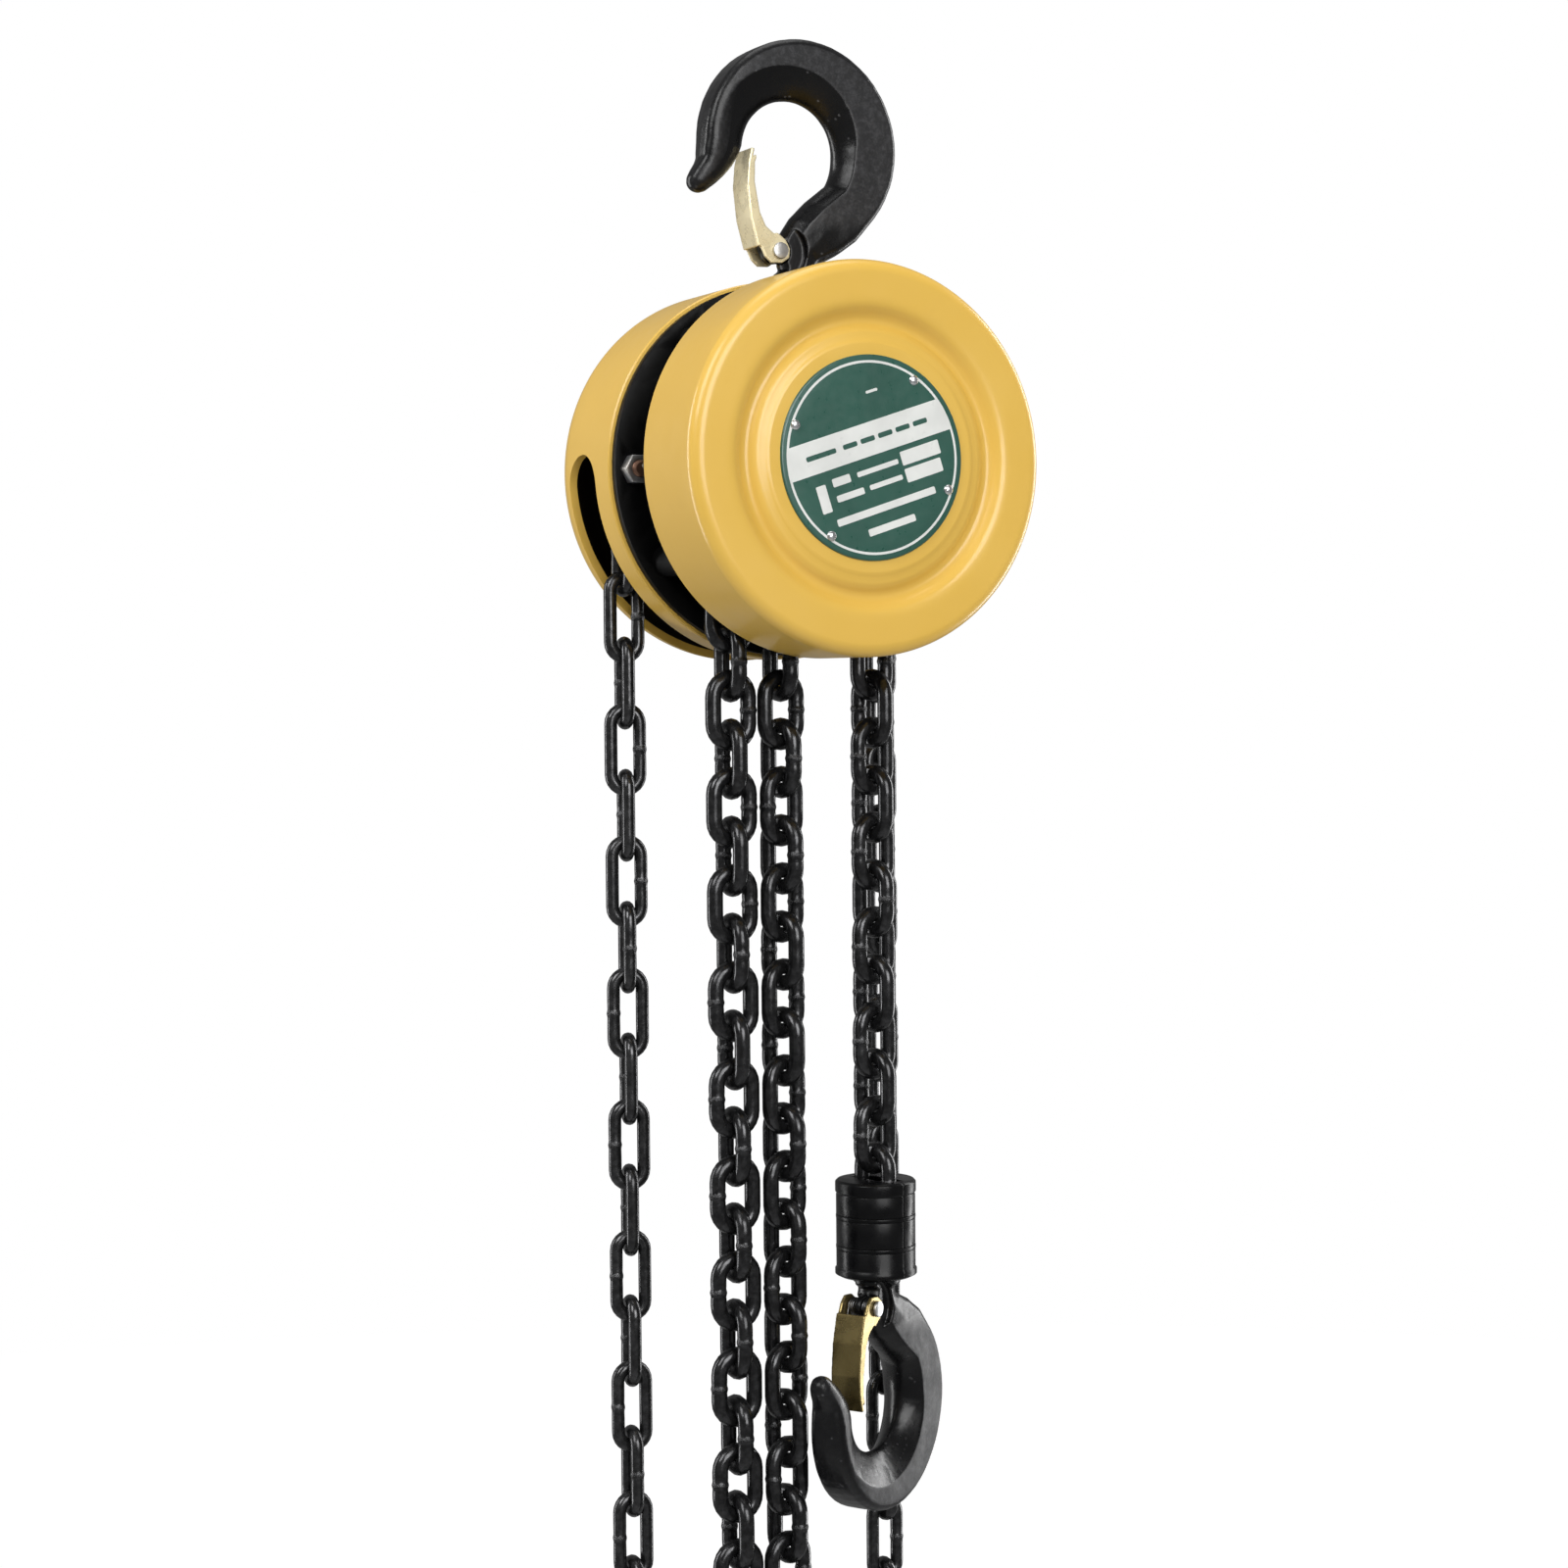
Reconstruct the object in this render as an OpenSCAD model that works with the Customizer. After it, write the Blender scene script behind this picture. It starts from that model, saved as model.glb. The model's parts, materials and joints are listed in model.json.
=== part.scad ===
// Round hand chain hoist, 1 t, single fall of 6 x 18 load chain.
// Frame: Z up along the hang line, hoist axis along Y, gear side toward -Y, origin on the seat of the top hook.

/* [Body] */
// radius of both covers
cover_r = 71; // [60:0.5:85]
// depth of the gear cover from the side plate to its face
gear_cover_d = 41; // [34:0.5:50]
// depth of the hand wheel cover from the side plate to its back
wheel_cover_d = 55; // [48:0.5:65]
// rounding of the back edge of the hand wheel cover
back_round = 18; // [6:1:24]
// wall of the pressed covers
cover_wall = 3; // [1.5:0.1:4]
// clear space between the side plates
plate_gap = 24; // [23:0.1:27]
// thickness of a side plate
plate_t = 3.5; // [3:0.1:5]
// height of the top hook's seat over the hoist axis
seat = 135.5; // [125:0.5:150]

/* [Load chain] */
// wire of the load chain
load_d = 6; // [5:0.1:7.1]
// pitch of the load chain
load_p = 18; // [15:0.1:21]
// outer width of a load link
load_w = 20.4; // [18:0.1:24]
// pockets of the load sheave
load_n = 5; // [4:1:6]
// links of the load chain from the sheave to the hook block
load_fall = 14; // [10:2:30]
// how far the guide leads the loaded strand out of its tangent
load_lead = 1.6; // [0:0.1:3]
// how far the guide leads the slack strand out of its tangent
slack_lead = 2.6; // [0:0.1:4]
// links turned about the loaded strand
load_twist = 15; // [-30:1:30]
// pairs of links in the slack loop below the guide
slack_pairs = 11; // [4:1:60]
// distance from the slack strand to the tail strand
tail_gap = 20.7; // [20.5:0.1:26]
// links turned about the tail strand
tail_twist = 18; // [0:1:30]

/* [Hand chain] */
// wire of the hand chain
hand_d = 5; // [4:0.1:6]
// pitch of the hand chain
hand_p = 25; // [20:0.1:28]
// outer width of a hand link
hand_w = 16; // [15:0.1:20]
// pockets of the hand wheel
hand_n = 7; // [6:1:9]
// turn of the hand wheel at rest
hand_phase = 17.5; // [0:0.5:51]
// middle of the hand wheel along the axis
hand_y = 39.7; // [37:0.1:44]
// pairs of links in each hand strand
hand_pairs = 8; // [4:1:60]

/* [Gears] */
// distance from the hoist axis to a disc gear
gear_a = 30; // [30:1:30]
// module of the fast stage
fast_m = 1.25; // [1.25:0.25:1.25]
// module of the slow stage
slow_m = 1.5; // [1.5:0.25:1.5]
// backlash taken off each tooth
backlash = 0.08; // [0.04:0.01:0.2]

/* [Hooks] */
// radius of the hook's bowl
bowl_r = 19; // [17:0.5:22]
// outer radius of the hook
hook_r = 39.2; // [36:0.1:44]
// thickness of the hook
hook_t = 18; // [16:0.5:24]
// distance from the bowl's middle to the axis of the shank
shank_x = 4; // [0:0.5:6]
// distance from the bowl's middle to the housing
hook_reach = 47.5; // [46:0.5:50]
// turn of the lower hook at rest
hook_turn = 31; // [-180:5:180]

/* [Hidden] */
$fn = 48;
e = 0.02;
play = 0.15;
half_gap = plate_gap/2;
rim_y = half_gap + plate_t;
face_y = -rim_y - gear_cover_d;
back_y = rim_y + wheel_cover_d;
plate_r = cover_r - 1.5;
stay_r = 60;
stay_at = [50, 130, 215, 325];
stud_r = 62;
stud_at = [181, 359, 66, 114];
bolt = 4;
stud = 3;
shaft_r = 6.65;
spindle_r = 6;
journal_r = 4;
disc_x = [-gear_a, gear_a];
pin_z = 48;
pin_r = 4.5;
yoke_top = 69;
head_r = 9.2;
head_t = 4.8;
ball_r = 1.25;
ball_ring = 7.9;
balls = 14;
shank_r = 6.5;
rv_load = wheel_r(load_p, load_d, load_n);
rv_hand = wheel_r(hand_p, hand_d, hand_n);
load_phase = 36;
rest_a = load_phase - half_a(load_p + load_d, rv_load) - 2*half_a(load_p - load_d, rv_load);
fall_x = rv_load*cos(rest_a) + load_lead;
end_a = rest_a + 4*half_a(load_p + load_d, rv_load) + 6*half_a(load_p - load_d, rv_load);
slack_x = rv_load*cos(end_a) - slack_lead;
tail_x = slack_x + tail_gap;
block_r = 15.1;
block_h = 37;
chain_pin_r = 3.5;
pawl_a = [75, 255];
pawl_r = 43.5;
pawl_back = 32;
ratchet_r = 31;
ratchet_n = 16;
plate_tilt = 18;

// ---- placing -------------------------------------------------------------------------------
module hang() translate([shank_x, 0, -seat]) children();
module rod(r, y0, y1, x = 0, z = 0) translate([x, y0, z]) rotate([-90, 0, 0]) cylinder(r = r, h = y1 - y0);
module hex(af, y0, y1, x = 0, z = 0)
  translate([x, y0, z]) rotate([-90, 0, 0]) cylinder(r = af/2/cos(30), h = y1 - y0, $fn = 6);
module spun(points) rotate([-90, 0, 0]) rotate_extrude() polygon(points);
module slab(y0, y1) translate([0, y1, 0]) rotate([90, 0, 0]) linear_extrude(y1 - y0) children();
module toward(a) rotate([0, -a, 0]) children();
function polar(r, a) = [r*cos(a), r*sin(a)];
function arc(c, r, a0, a1, n) = [for (i = [0:n]) c + polar(r, a0 + (a1 - a0)*i/n)];

// ---- chains --------------------------------------------------------------------------------
// A chain is a run of corners: flat links span pitch + wire, upright links pitch - wire.
function wheel_r(p, d, n) = sqrt(pow(p/sin(90/n), 2) + pow(d/cos(90/n), 2))/2;
function half_a(side, r) = asin(side/2/r);
function run(i, p, d, flat) = i*p + (i % 2 == 1 ? (flat ? d : -d) : 0);
function column(x, z, n, flat, p, d, up = -1) = [for (i = [0:n]) [x, z + up*run(i, p, d, flat)]];
function around(c, r, a, n, flat, p, d) = let (f = half_a(p + d, r), v = half_a(p - d, r))
  [for (i = [0:n]) c + polar(r, a + i*(f + v) + (i % 2 == 1 ? (flat ? f - v : v - f) : 0))];

module link(p, d, w) {
  r = (w - d)/2;
  s = (p + d)/2 + play - r;
  for (k = [0, 180]) rotate([0, k, 0]) {
    translate([0, 0, s]) rotate([90, 0, 0]) rotate_extrude(angle = 180) translate([r, 0]) circle(d/2);
    translate([r, 0, -s]) cylinder(r = d/2, h = 2*s);
  }
}
module chain(pts, flat, p, d, w, y = 0, turn = 0, lead = 4, first = 0, last = -1, ends = 0) {
  n = len(pts) - 1;
  for (i = [first:last < 0 ? n - 1 : last]) {
    way = pts[i + 1] - pts[i];
    s = way[1] < 0 ? -1 : 1;
    mid = (pts[i] + pts[i + 1])/2;
    bend = turn*min(1, i/lead, ends > 0 ? (n - 1 - i)/ends : 1);
    translate([mid[0], y, mid[1]]) rotate([0, atan2(s*way[0], s*way[1]), 0])
      rotate([0, 0, ((i % 2 == 0) == flat ? 90 : 0) + bend]) link(p, d, w);
  }
}

// loaded strand, down from the sheave to the pin in the hook block
fall_top = polar(rv_load, rest_a);
lead_z = fall_top[1] - sqrt(pow(load_p + load_d, 2) - pow(load_lead, 2));
fall = concat([fall_top], column(fall_x, lead_z, load_fall, false, load_p, load_d));
end_z = fall[load_fall + 1][1];
chain_pin_z = end_z + load_d/2 + play + chain_pin_r;
block_top = chain_pin_z + 6.55;
block_low = block_top - block_h;
hook_z = block_low - hook_reach;
static_links = 8;

// slack strand, its turn below, and the tail strand up to the tail pin
slack_top = polar(rv_load, end_a);
seat_z = slack_top[1] - load_p - load_d;
lead_a = slack_lead/3;
out_z = seat_z - sqrt(pow(load_p - load_d, 2) - pow(lead_a, 2));
guide_z = out_z - sqrt(pow(load_p + load_d, 2) - pow(slack_lead - lead_a, 2));
slack = concat([slack_top, [slack_top[0], seat_z], [slack_top[0] - lead_a, out_z]],
  column(slack_x, guide_z, 2*slack_pairs + 1, false, load_p, load_d));
slack_end = slack[len(slack) - 1][1];
turn_x = (tail_gap - load_p + load_d)/2;
turn_z = slack_end - sqrt(pow(load_p + load_d, 2) - pow(turn_x, 2));
bottom = [[slack_x, slack_end], [slack_x + turn_x, turn_z], [tail_x - turn_x, turn_z], [tail_x, slack_end]];
rise = column(tail_x, slack_end, 2*slack_pairs + 1, false, load_p, load_d, 1);
tail_z = rise[len(rise) - 1][1];

// hand chain: up over the wheel, down both sides, closed by an arc
hand_f = half_a(hand_p + hand_d, rv_hand);
hand_v = half_a(hand_p - hand_d, rv_hand);
hand_a = 90 + hand_phase - 5*hand_f - 4*hand_v;
over = around([0, 0], rv_hand, hand_a, 8, true, hand_p, hand_d);
left_top = over[8];
right_top = over[0];
left_run = column(left_top[0], left_top[1], 2*hand_pairs + 1, true, hand_p, hand_d);
right_run = column(right_top[0], right_top[1], 2*hand_pairs + 2, false, hand_p, hand_d);
left_end = left_run[2*hand_pairs + 1];
right_end = right_run[2*hand_pairs + 2];
function swing(r) = 6*half_a(hand_p + hand_d, r) + 8*half_a(hand_p - hand_d, r);
function arc_r(c, lo, hi, k) = let (m = (lo + hi)/2)
  k == 0 ? m : 2*m*sin(swing(m)/2) < c ? arc_r(c, m, hi, k - 1) : arc_r(c, lo, m, k - 1);
span = norm(right_end - left_end);
loop_r = arc_r(span, span*0.45, span*0.8, 40);
lift = (loop_r*cos(swing(loop_r)/2))*[left_end[1] - right_end[1], right_end[0] - left_end[0]]/span;
loop_c = (left_end + right_end)/2 + lift;
loop_a = atan2(left_end[1] - loop_c[1], left_end[0] - loop_c[0]);
loop = around(loop_c, loop_r, loop_a, 7, false, hand_p, hand_d);

module load_chain_upper() color("#2a2a2c") hang() {
  chain(around([0, 0], rv_load, rest_a, 5, false, load_p, load_d), false, load_p, load_d, load_w);
  chain(fall, true, load_p, load_d, load_w, turn = load_twist, lead = 2, last = static_links - 1);
}
module load_chain_lower() color("#2a2a2c") hang()
  chain(fall, true, load_p, load_d, load_w, turn = load_twist, lead = 2, first = static_links);
module load_chain_slack() color("#2a2a2c") hang() {
  chain(slack, true, load_p, load_d, load_w);
  chain(bottom, true, load_p, load_d, load_w);
  chain(rise, false, load_p, load_d, load_w, turn = tail_twist, lead = 4, ends = 4);
}
module hand_chain() color("#303032") hang() {
  chain(over, true, hand_p, hand_d, hand_w, hand_y);
  chain(left_run, true, hand_p, hand_d, hand_w, hand_y, turn = -14, lead = 3, ends = 6);
  chain(right_run, false, hand_p, hand_d, hand_w, hand_y, turn = 10, lead = 3, ends = 5);
  chain(loop, false, hand_p, hand_d, hand_w, hand_y);
}

// ---- gears ---------------------------------------------------------------------------------
function inv(a) = tan(a)*180/PI - a;
function tooth_half(m, z, x, r) = (90 + (2*x*tan(20) - backlash/m)*180/PI)/z + inv(20)
  - inv(acos(min(1, m*z/2*cos(20)/r)));
function tooth(m, z, x, ra) = let (rb = m*z/2*cos(20), rf = m*(z/2 - 1.25 + x), r0 = max(rb + 0.01, rf),
    up = [for (i = [0:5]) r0 + (ra - r0)*i/5], g = tooth_half(m, z, x, r0))
  concat([[rf, -g]], [for (r = up) [r, -tooth_half(m, z, x, r)]],
    [for (i = [5:-1:0]) [up[i], tooth_half(m, z, x, up[i])]], [[rf, g]]);
module gear(m, z, x, ra, turn = 0)
  polygon([for (k = [0:z - 1]) for (q = tooth(m, z, x, ra)) polar(q[0], q[1] + turn + 360*k/z)]);

module disc_gear(x) color("#8d9094") hang() translate([x, 0, 0]) {
  rod(journal_r - 0.05, -41.6, -half_gap - 0.4);
  slab(-27.2, -17.7) gear(slow_m, 10, 0.45, 9.47);
  rod(6, -29.7, -27.1);
  slab(-36.6, -29.6) gear(fast_m, 40, -0.5, 25.6, 4.5);
}
module disc_gear_left() disc_gear(-gear_a);
module disc_gear_right() disc_gear(gear_a);
module load_gear() color("#7f8388") hang() difference() {
  slab(-27.2, -17.7) gear(slow_m, 30, -0.45, 23.3, 6);
  slab(-28, -17) key_square(0.02);
}
module key_square(c) intersection() {
  circle(11 + c);
  square(2*9.6 + 2*c, center = true);
}
module drive_shaft() color("#9a9da1") hang() difference() {
  union() {
    slab(-37.6, -29.4) gear(fast_m, 8, 0.5, 6.58);
    rod(journal_r - 0.05, -41.6, -37.5);
    rod(shaft_r, -29.5, 17.6);
    rod(spindle_r, 17.5, 60.5);
  }
  translate([0, 55, 0]) cylinder(r = 1.3, h = 20, center = true);
}

// ---- load sheave ---------------------------------------------------------------------------
module load_sheave() color("#55585c") hang() difference() {
  union() {
    spun([[shaft_r + 0.06, -half_gap + 0.3], [36, -half_gap + 0.3], [36, -8.5], [33.5, -4.4], [17.8, -3.7],
      [17.8, 3.7], [33.5, 4.4], [36, 8.5], [36, half_gap - 0.3], [12.94, half_gap - 0.3], [12.94, 17.3],
      [shaft_r + 0.06, 17.3]]);
    spun([[shaft_r + 0.06, -17.4], [12.94, -17.4], [12.94, -half_gap + 0.4], [shaft_r + 0.06, -half_gap + 0.4]]);
    difference() {
      slab(-29, -17.3) key_square(0);
      rod(shaft_r + 0.06, -30, -17);
      spun([[10.3, -28.6], [12, -28.6], [12, -27.4], [10.3, -27.4]]);
    }
  }
  for (k = [0:load_n - 1]) toward(load_phase + 360*k/load_n)
    translate([23.3, -load_w/2 - 0.35, -15.8]) cube([20, load_w + 0.7, 31.6]);
}
module sheave_circlip() color("#44474a") hang() difference() {
  spun([[10.35, -28.5], [12.6, -28.5], [12.6, -27.5], [10.35, -27.5]]);
  translate([0, -28, -12]) cube([3, 4, 10], center = true);
}
module sheave_bearings() color("#b4b7ba") hang() for (s = [-1, 1])
  rod_ring(13, 16.98, s < 0 ? -17 : half_gap, s < 0 ? -half_gap : 17);
module rod_ring(r0, r1, y0, y1, x = 0, z = 0) translate([x, 0, z])
  spun([[r0, y0], [r1, y0], [r1, y1], [r0, y1]]);

// ---- frame ---------------------------------------------------------------------------------
module plate_holes(y0, y1) {
  rod(17, y0, y1);
  rod(pin_r, y0, y1, 0, pin_z);
  rod(3, y0, y1, tail_x, tail_z);
  for (q = roller_at) rod(2.5, y0, y1, q[0], q[1]);
  rod(3, y0, y1, stripper_x, stripper_z);
  for (a = stay_at) rod(bolt, y0, y1, stay_r*cos(a), stay_r*sin(a));
  for (a = stud_at) rod(stud, y0, y1, stud_r*cos(a), stud_r*sin(a));
}
roller_at = [[slack_x - 17.3, -10], [fall_x + 17.3, -14]];
stripper_x = 11.5;
stripper_z = -44;
module front_side_plate() color("#1c1c1e") hang() difference() {
  rod(plate_r, -rim_y, -half_gap);
  plate_holes(-rim_y - 1, -half_gap + 1);
  for (x = disc_x) rod(journal_r, -rim_y - 1, -half_gap + 1, x);
}
module rear_side_plate() color("#1c1c1e") hang() difference() {
  rod(plate_r, half_gap, rim_y);
  plate_holes(half_gap - 1, rim_y + 1);
  for (a = pawl_a) rod(3.5, half_gap - 1, rim_y + 1, pawl_r*cos(a - pawl_back), pawl_r*sin(a - pawl_back));
}
module gear_plate() color("#3a3c3f") hang() difference() {
  rod(65.5, -42, -39);
  rod(journal_r, -43, -38);
  for (x = disc_x) rod(journal_r, -43, -38, x);
  for (a = stay_at) rod(bolt, -43, -38, stay_r*cos(a), stay_r*sin(a));
  for (s = [-1, 1]) slab(-43, -38) translate([0, s*38]) square([44, 26], center = true);
}
module stay_bolts() color("#2b2b2d") hang() for (a = stay_at)
  rod(bolt - 0.02, -47, 21, stay_r*cos(a), stay_r*sin(a));
module stay_spacers() color("#3c3e41") hang() for (a = stay_at) {
  rod_ring(bolt, 6, -half_gap, half_gap, stay_r*cos(a), stay_r*sin(a));
  rod_ring(bolt, 6, -39, -rim_y, stay_r*cos(a), stay_r*sin(a));
}
module stay_nuts() color("#8b7f63") hang() for (a = stay_at) difference() {
  union() {
    hex(13, -46, -42, stay_r*cos(a), stay_r*sin(a));
    hex(13, rim_y, 19.5, stay_r*cos(a), stay_r*sin(a));
  }
  rod(bolt, -48, 22, stay_r*cos(a), stay_r*sin(a));
}
module cover_studs() color("#7a5a44") hang() for (a = stud_at) {
  x = stud_r*cos(a);
  z = stud_r*sin(a);
  rod(stud - 0.02, half_gap - 6.5, rim_y + 7, x, z);
  rod(5.4, rim_y + cover_wall, rim_y + 7, x, z);
  rod(stud - 0.02, -rim_y - 7, -half_gap + 6.5, x, z);
  rod(5.4, -rim_y - 7, -rim_y - cover_wall, x, z);
}
module cover_nuts() color("#9b9790") hang() for (a = stud_at) difference() {
  x = stud_r*cos(a);
  z = stud_r*sin(a);
  union() {
    hex(10, half_gap - 5, half_gap, x, z);
    hex(10, -half_gap, -half_gap + 5, x, z);
  }
  rod(stud, -20, 20, x, z);
}
module cover_ears(y0, y1) intersection() {
  for (a = stud_at) rod(8.5, y0, y1, stud_r*cos(a), stud_r*sin(a));
  rod(cover_r - 1, y0, y1);
}
module gear_cover() color("#e8b64c") hang() difference() {
  union() {
    spun(concat([[cover_r - cover_wall, -rim_y], [cover_r, -rim_y]],
      arc([cover_r - 5, face_y + 5], 5, 0, -90, 6),
      [[54, face_y], [51.2, face_y + 1.6], [49.6, face_y + 3.9], [48, face_y + 3.9], [45.8, face_y + 1.9],
       [43.2, face_y + 0.6], [0, face_y + 0.6], [0, face_y + 3.6], [42, face_y + 3.6], [44.5, face_y + 4.8],
       [47, face_y + 6.9], [50.8, face_y + 6.9], [53.4, face_y + 4], [55, face_y + cover_wall]],
      arc([cover_r - 5, face_y + 5], 2, -90, 0, 4)));
    cover_ears(-rim_y - cover_wall, -rim_y);
  }
  for (a = stud_at) rod(stud, -rim_y - 9, -rim_y + 1, stud_r*cos(a), stud_r*sin(a));
  for (a = rivet_a) rod(1, face_y - 1, face_y + 5, rivet_r*cos(a), rivet_r*sin(a));
}
rivet_r = 32.8;
rivet_a = [59, 161, 239, 341];
module nameplate() color("#2f6a58") hang() difference() {
  rod(36.7, face_y - 0.4, face_y + 0.6);
  for (a = rivet_a) rod(1, face_y - 1, face_y + 5, rivet_r*cos(a), rivet_r*sin(a));
}
module nameplate_rivets() color("#d8dadb") hang() for (a = rivet_a) toward(a) translate([rivet_r, 0, 0])
  spun([[0, face_y + 3.4], [0.98, face_y + 3.4], [0.98, face_y - 0.4], [1.9, face_y - 0.4],
    [1.7, face_y - 1], [1.1, face_y - 1.4], [0, face_y - 1.6]]);
module wheel_cover() color("#e0ab42") hang() difference() {
  union() {
    spun(concat([[cover_r - cover_wall, rim_y], [cover_r, rim_y]],
      arc([cover_r - back_round, back_y - back_round], back_round, 0, 90, 8),
      [[34, back_y], [31, back_y - 2], [0, back_y - 2], [0, back_y - 2 - cover_wall],
       [32, back_y - 2 - cover_wall], [35, back_y - cover_wall]],
      arc([cover_r - back_round, back_y - back_round], back_round - cover_wall, 90, 0, 8)));
    cover_ears(rim_y, rim_y + cover_wall);
  }
  for (a = stud_at) rod(stud, rim_y - 1, rim_y + 9, stud_r*cos(a), stud_r*sin(a));
  translate([-90, hand_y - 12, -90]) cube([180, 24, 84]);
  translate([-90, hand_y, -6]) rotate([0, 90, 0]) cylinder(r = 12, h = 180);
}
module chain_stripper() color("#2c2d30") hang() {
  slab(-half_gap + 0.2, half_gap - 0.2)
    polygon([[5.5, -50], [17, -50], [19.5, -44], [17, -39.3], [6.5, -39.3], [4.6, -44]]);
  slab(-2.8, 2.8) polygon([[7, -40], [14, -40], [10.5, -22], [7.5, -22]]);
  rod(2.98, -rim_y, rim_y, stripper_x, stripper_z);
}
module roller_pins() color("#77797c") hang() for (q = roller_at) {
  rod(2.48, -rim_y, rim_y, q[0], q[1]);
}
module guide_roller(q) color("#3b3d40") hang() difference() {
  rod(6, -half_gap + 0.4, half_gap - 0.4, q[0], q[1]);
  rod(2.55, -half_gap, half_gap, q[0], q[1]);
}
module guide_roller_left() guide_roller(roller_at[0]);
module guide_roller_right() guide_roller(roller_at[1]);
module tail_pin() color("#77797c") hang() rod(2.98, -rim_y, rim_y, tail_x, tail_z);

// ---- brake and hand wheel ------------------------------------------------------------------
module brake_hub() color("#6b6e72") hang()
  spun([[spindle_r + 0.02, 18], [24, 18], [24, 21], [11.9, 21], [11.9, 28.8], [spindle_r + 0.02, 28.8]]);
module friction_discs() color("#6a4a34") hang() for (y = [21.05, 27.1]) rod_ring(12, 24, y, y + 1.9);
module ratchet_disc() color("#8a8d91") hang() difference() {
  slab(23, 27.05) polygon([for (k = [0:ratchet_n - 1]) for (q = [[26.6, 0], [ratchet_r, 1.2], [ratchet_r - 0.2, 4]])
    polar(q[0], q[1] + 360*k/ratchet_n)]);
  rod(12, 22, 28);
}
module hand_wheel() color("#4a4c50") hang() difference() {
  union() {
    spun([[spindle_r + 0.02, 29.05], [24, 29.05], [26, 31], [44, 31], [46, hand_y - 10.6], [61, hand_y - 10.6],
      [61, hand_y - 6.8], [58, hand_y - 3.6], [46.7, hand_y - 3.1], [46.7, hand_y + 3.1],
      [58, hand_y + 3.6], [61, hand_y + 6.8], [61, hand_y + 10.6], [46, hand_y + 10.6], [44, 42],
      [20, 42], [18, 50.3], [spindle_r + 0.02, 50.3]]);
  }
  for (k = [0:hand_n - 1]) toward(90 + hand_phase + 360*k/hand_n)
    translate([51.3, -hand_w/2 - 0.35 + hand_y, -18.1]) cube([20, hand_w + 0.7, 36.2]);
  for (k = [0:4]) toward(36 + 72*k) rod(5, 28, 52, 34);
}
module castle_nut() color("#a2a5a8") hang() difference() {
  union() {
    hex(19, 50.4, 56.5);
    rod(8, 50.4, 58);
  }
  rod(spindle_r + 0.02, 50, 59);
  for (k = [0:2]) toward(30 + 60*k) translate([0, 57, 0]) cube([24, 7, 3], center = true);
}
module split_pin() color("#b9bcbf") hang() {
  translate([0, 55, -10.5]) cylinder(r = 1.2, h = 21.5);
  translate([0, 55, 12.9]) rotate([90, 0, 0]) rotate_extrude() translate([2, 0]) circle(1.1);
}
module pawl(a) color("#85888c") hang() difference() {
  px = pawl_r*cos(a - pawl_back);
  pz = pawl_r*sin(a - pawl_back);
  union() {
    rod(6, 22.9, 27.3, px, pz);
    slab(22.9, 27.3) polygon([polar(ratchet_r + 0.35, a), polar(36.4, a + 0.5), polar(44.5, a - 16),
      polar(48.6, a - pawl_back + 3.2), polar(37.8, a - pawl_back + 1)]);
  }
  rod(3.56, 22, 28, px, pz);
}
module pawl_upper() pawl(pawl_a[0]);
module pawl_lower() pawl(pawl_a[1]);
module pawl_pins() color("#77797c") hang() for (a = pawl_a) {
  rod(3.48, half_gap + 0.2, 28.4, pawl_r*cos(a - pawl_back), pawl_r*sin(a - pawl_back));
  rod(5, 27.6, 28.6, pawl_r*cos(a - pawl_back), pawl_r*sin(a - pawl_back));
}
module coil(r, wire, turns, y) translate([0, y, 0]) rotate([-90, 0, 0]) rotate_extrude() union() {
  translate([r - wire*0.3, 0]) square([wire*0.6, (turns - 1)*wire]);
  for (k = [0:turns - 1]) translate([r, k*wire]) circle(wire*0.52);
}
module pawl_springs() color("#5c5f63") hang() for (a = pawl_a)
  translate([pawl_r*cos(a - pawl_back), 0, pawl_r*sin(a - pawl_back)]) {
    coil(4.7, 0.9, 6, 16.8);
    translate([4.7*cos(a), 22, 4.7*sin(a)]) rotate([0, 90 - a - 20, 0]) cylinder(r = 0.45, h = 5.5);
    translate([-4.7*cos(a), 16.6, -4.7*sin(a)]) rotate([0, 270 - a, 0]) cylinder(r = 0.45, h = 5);
  }

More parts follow.
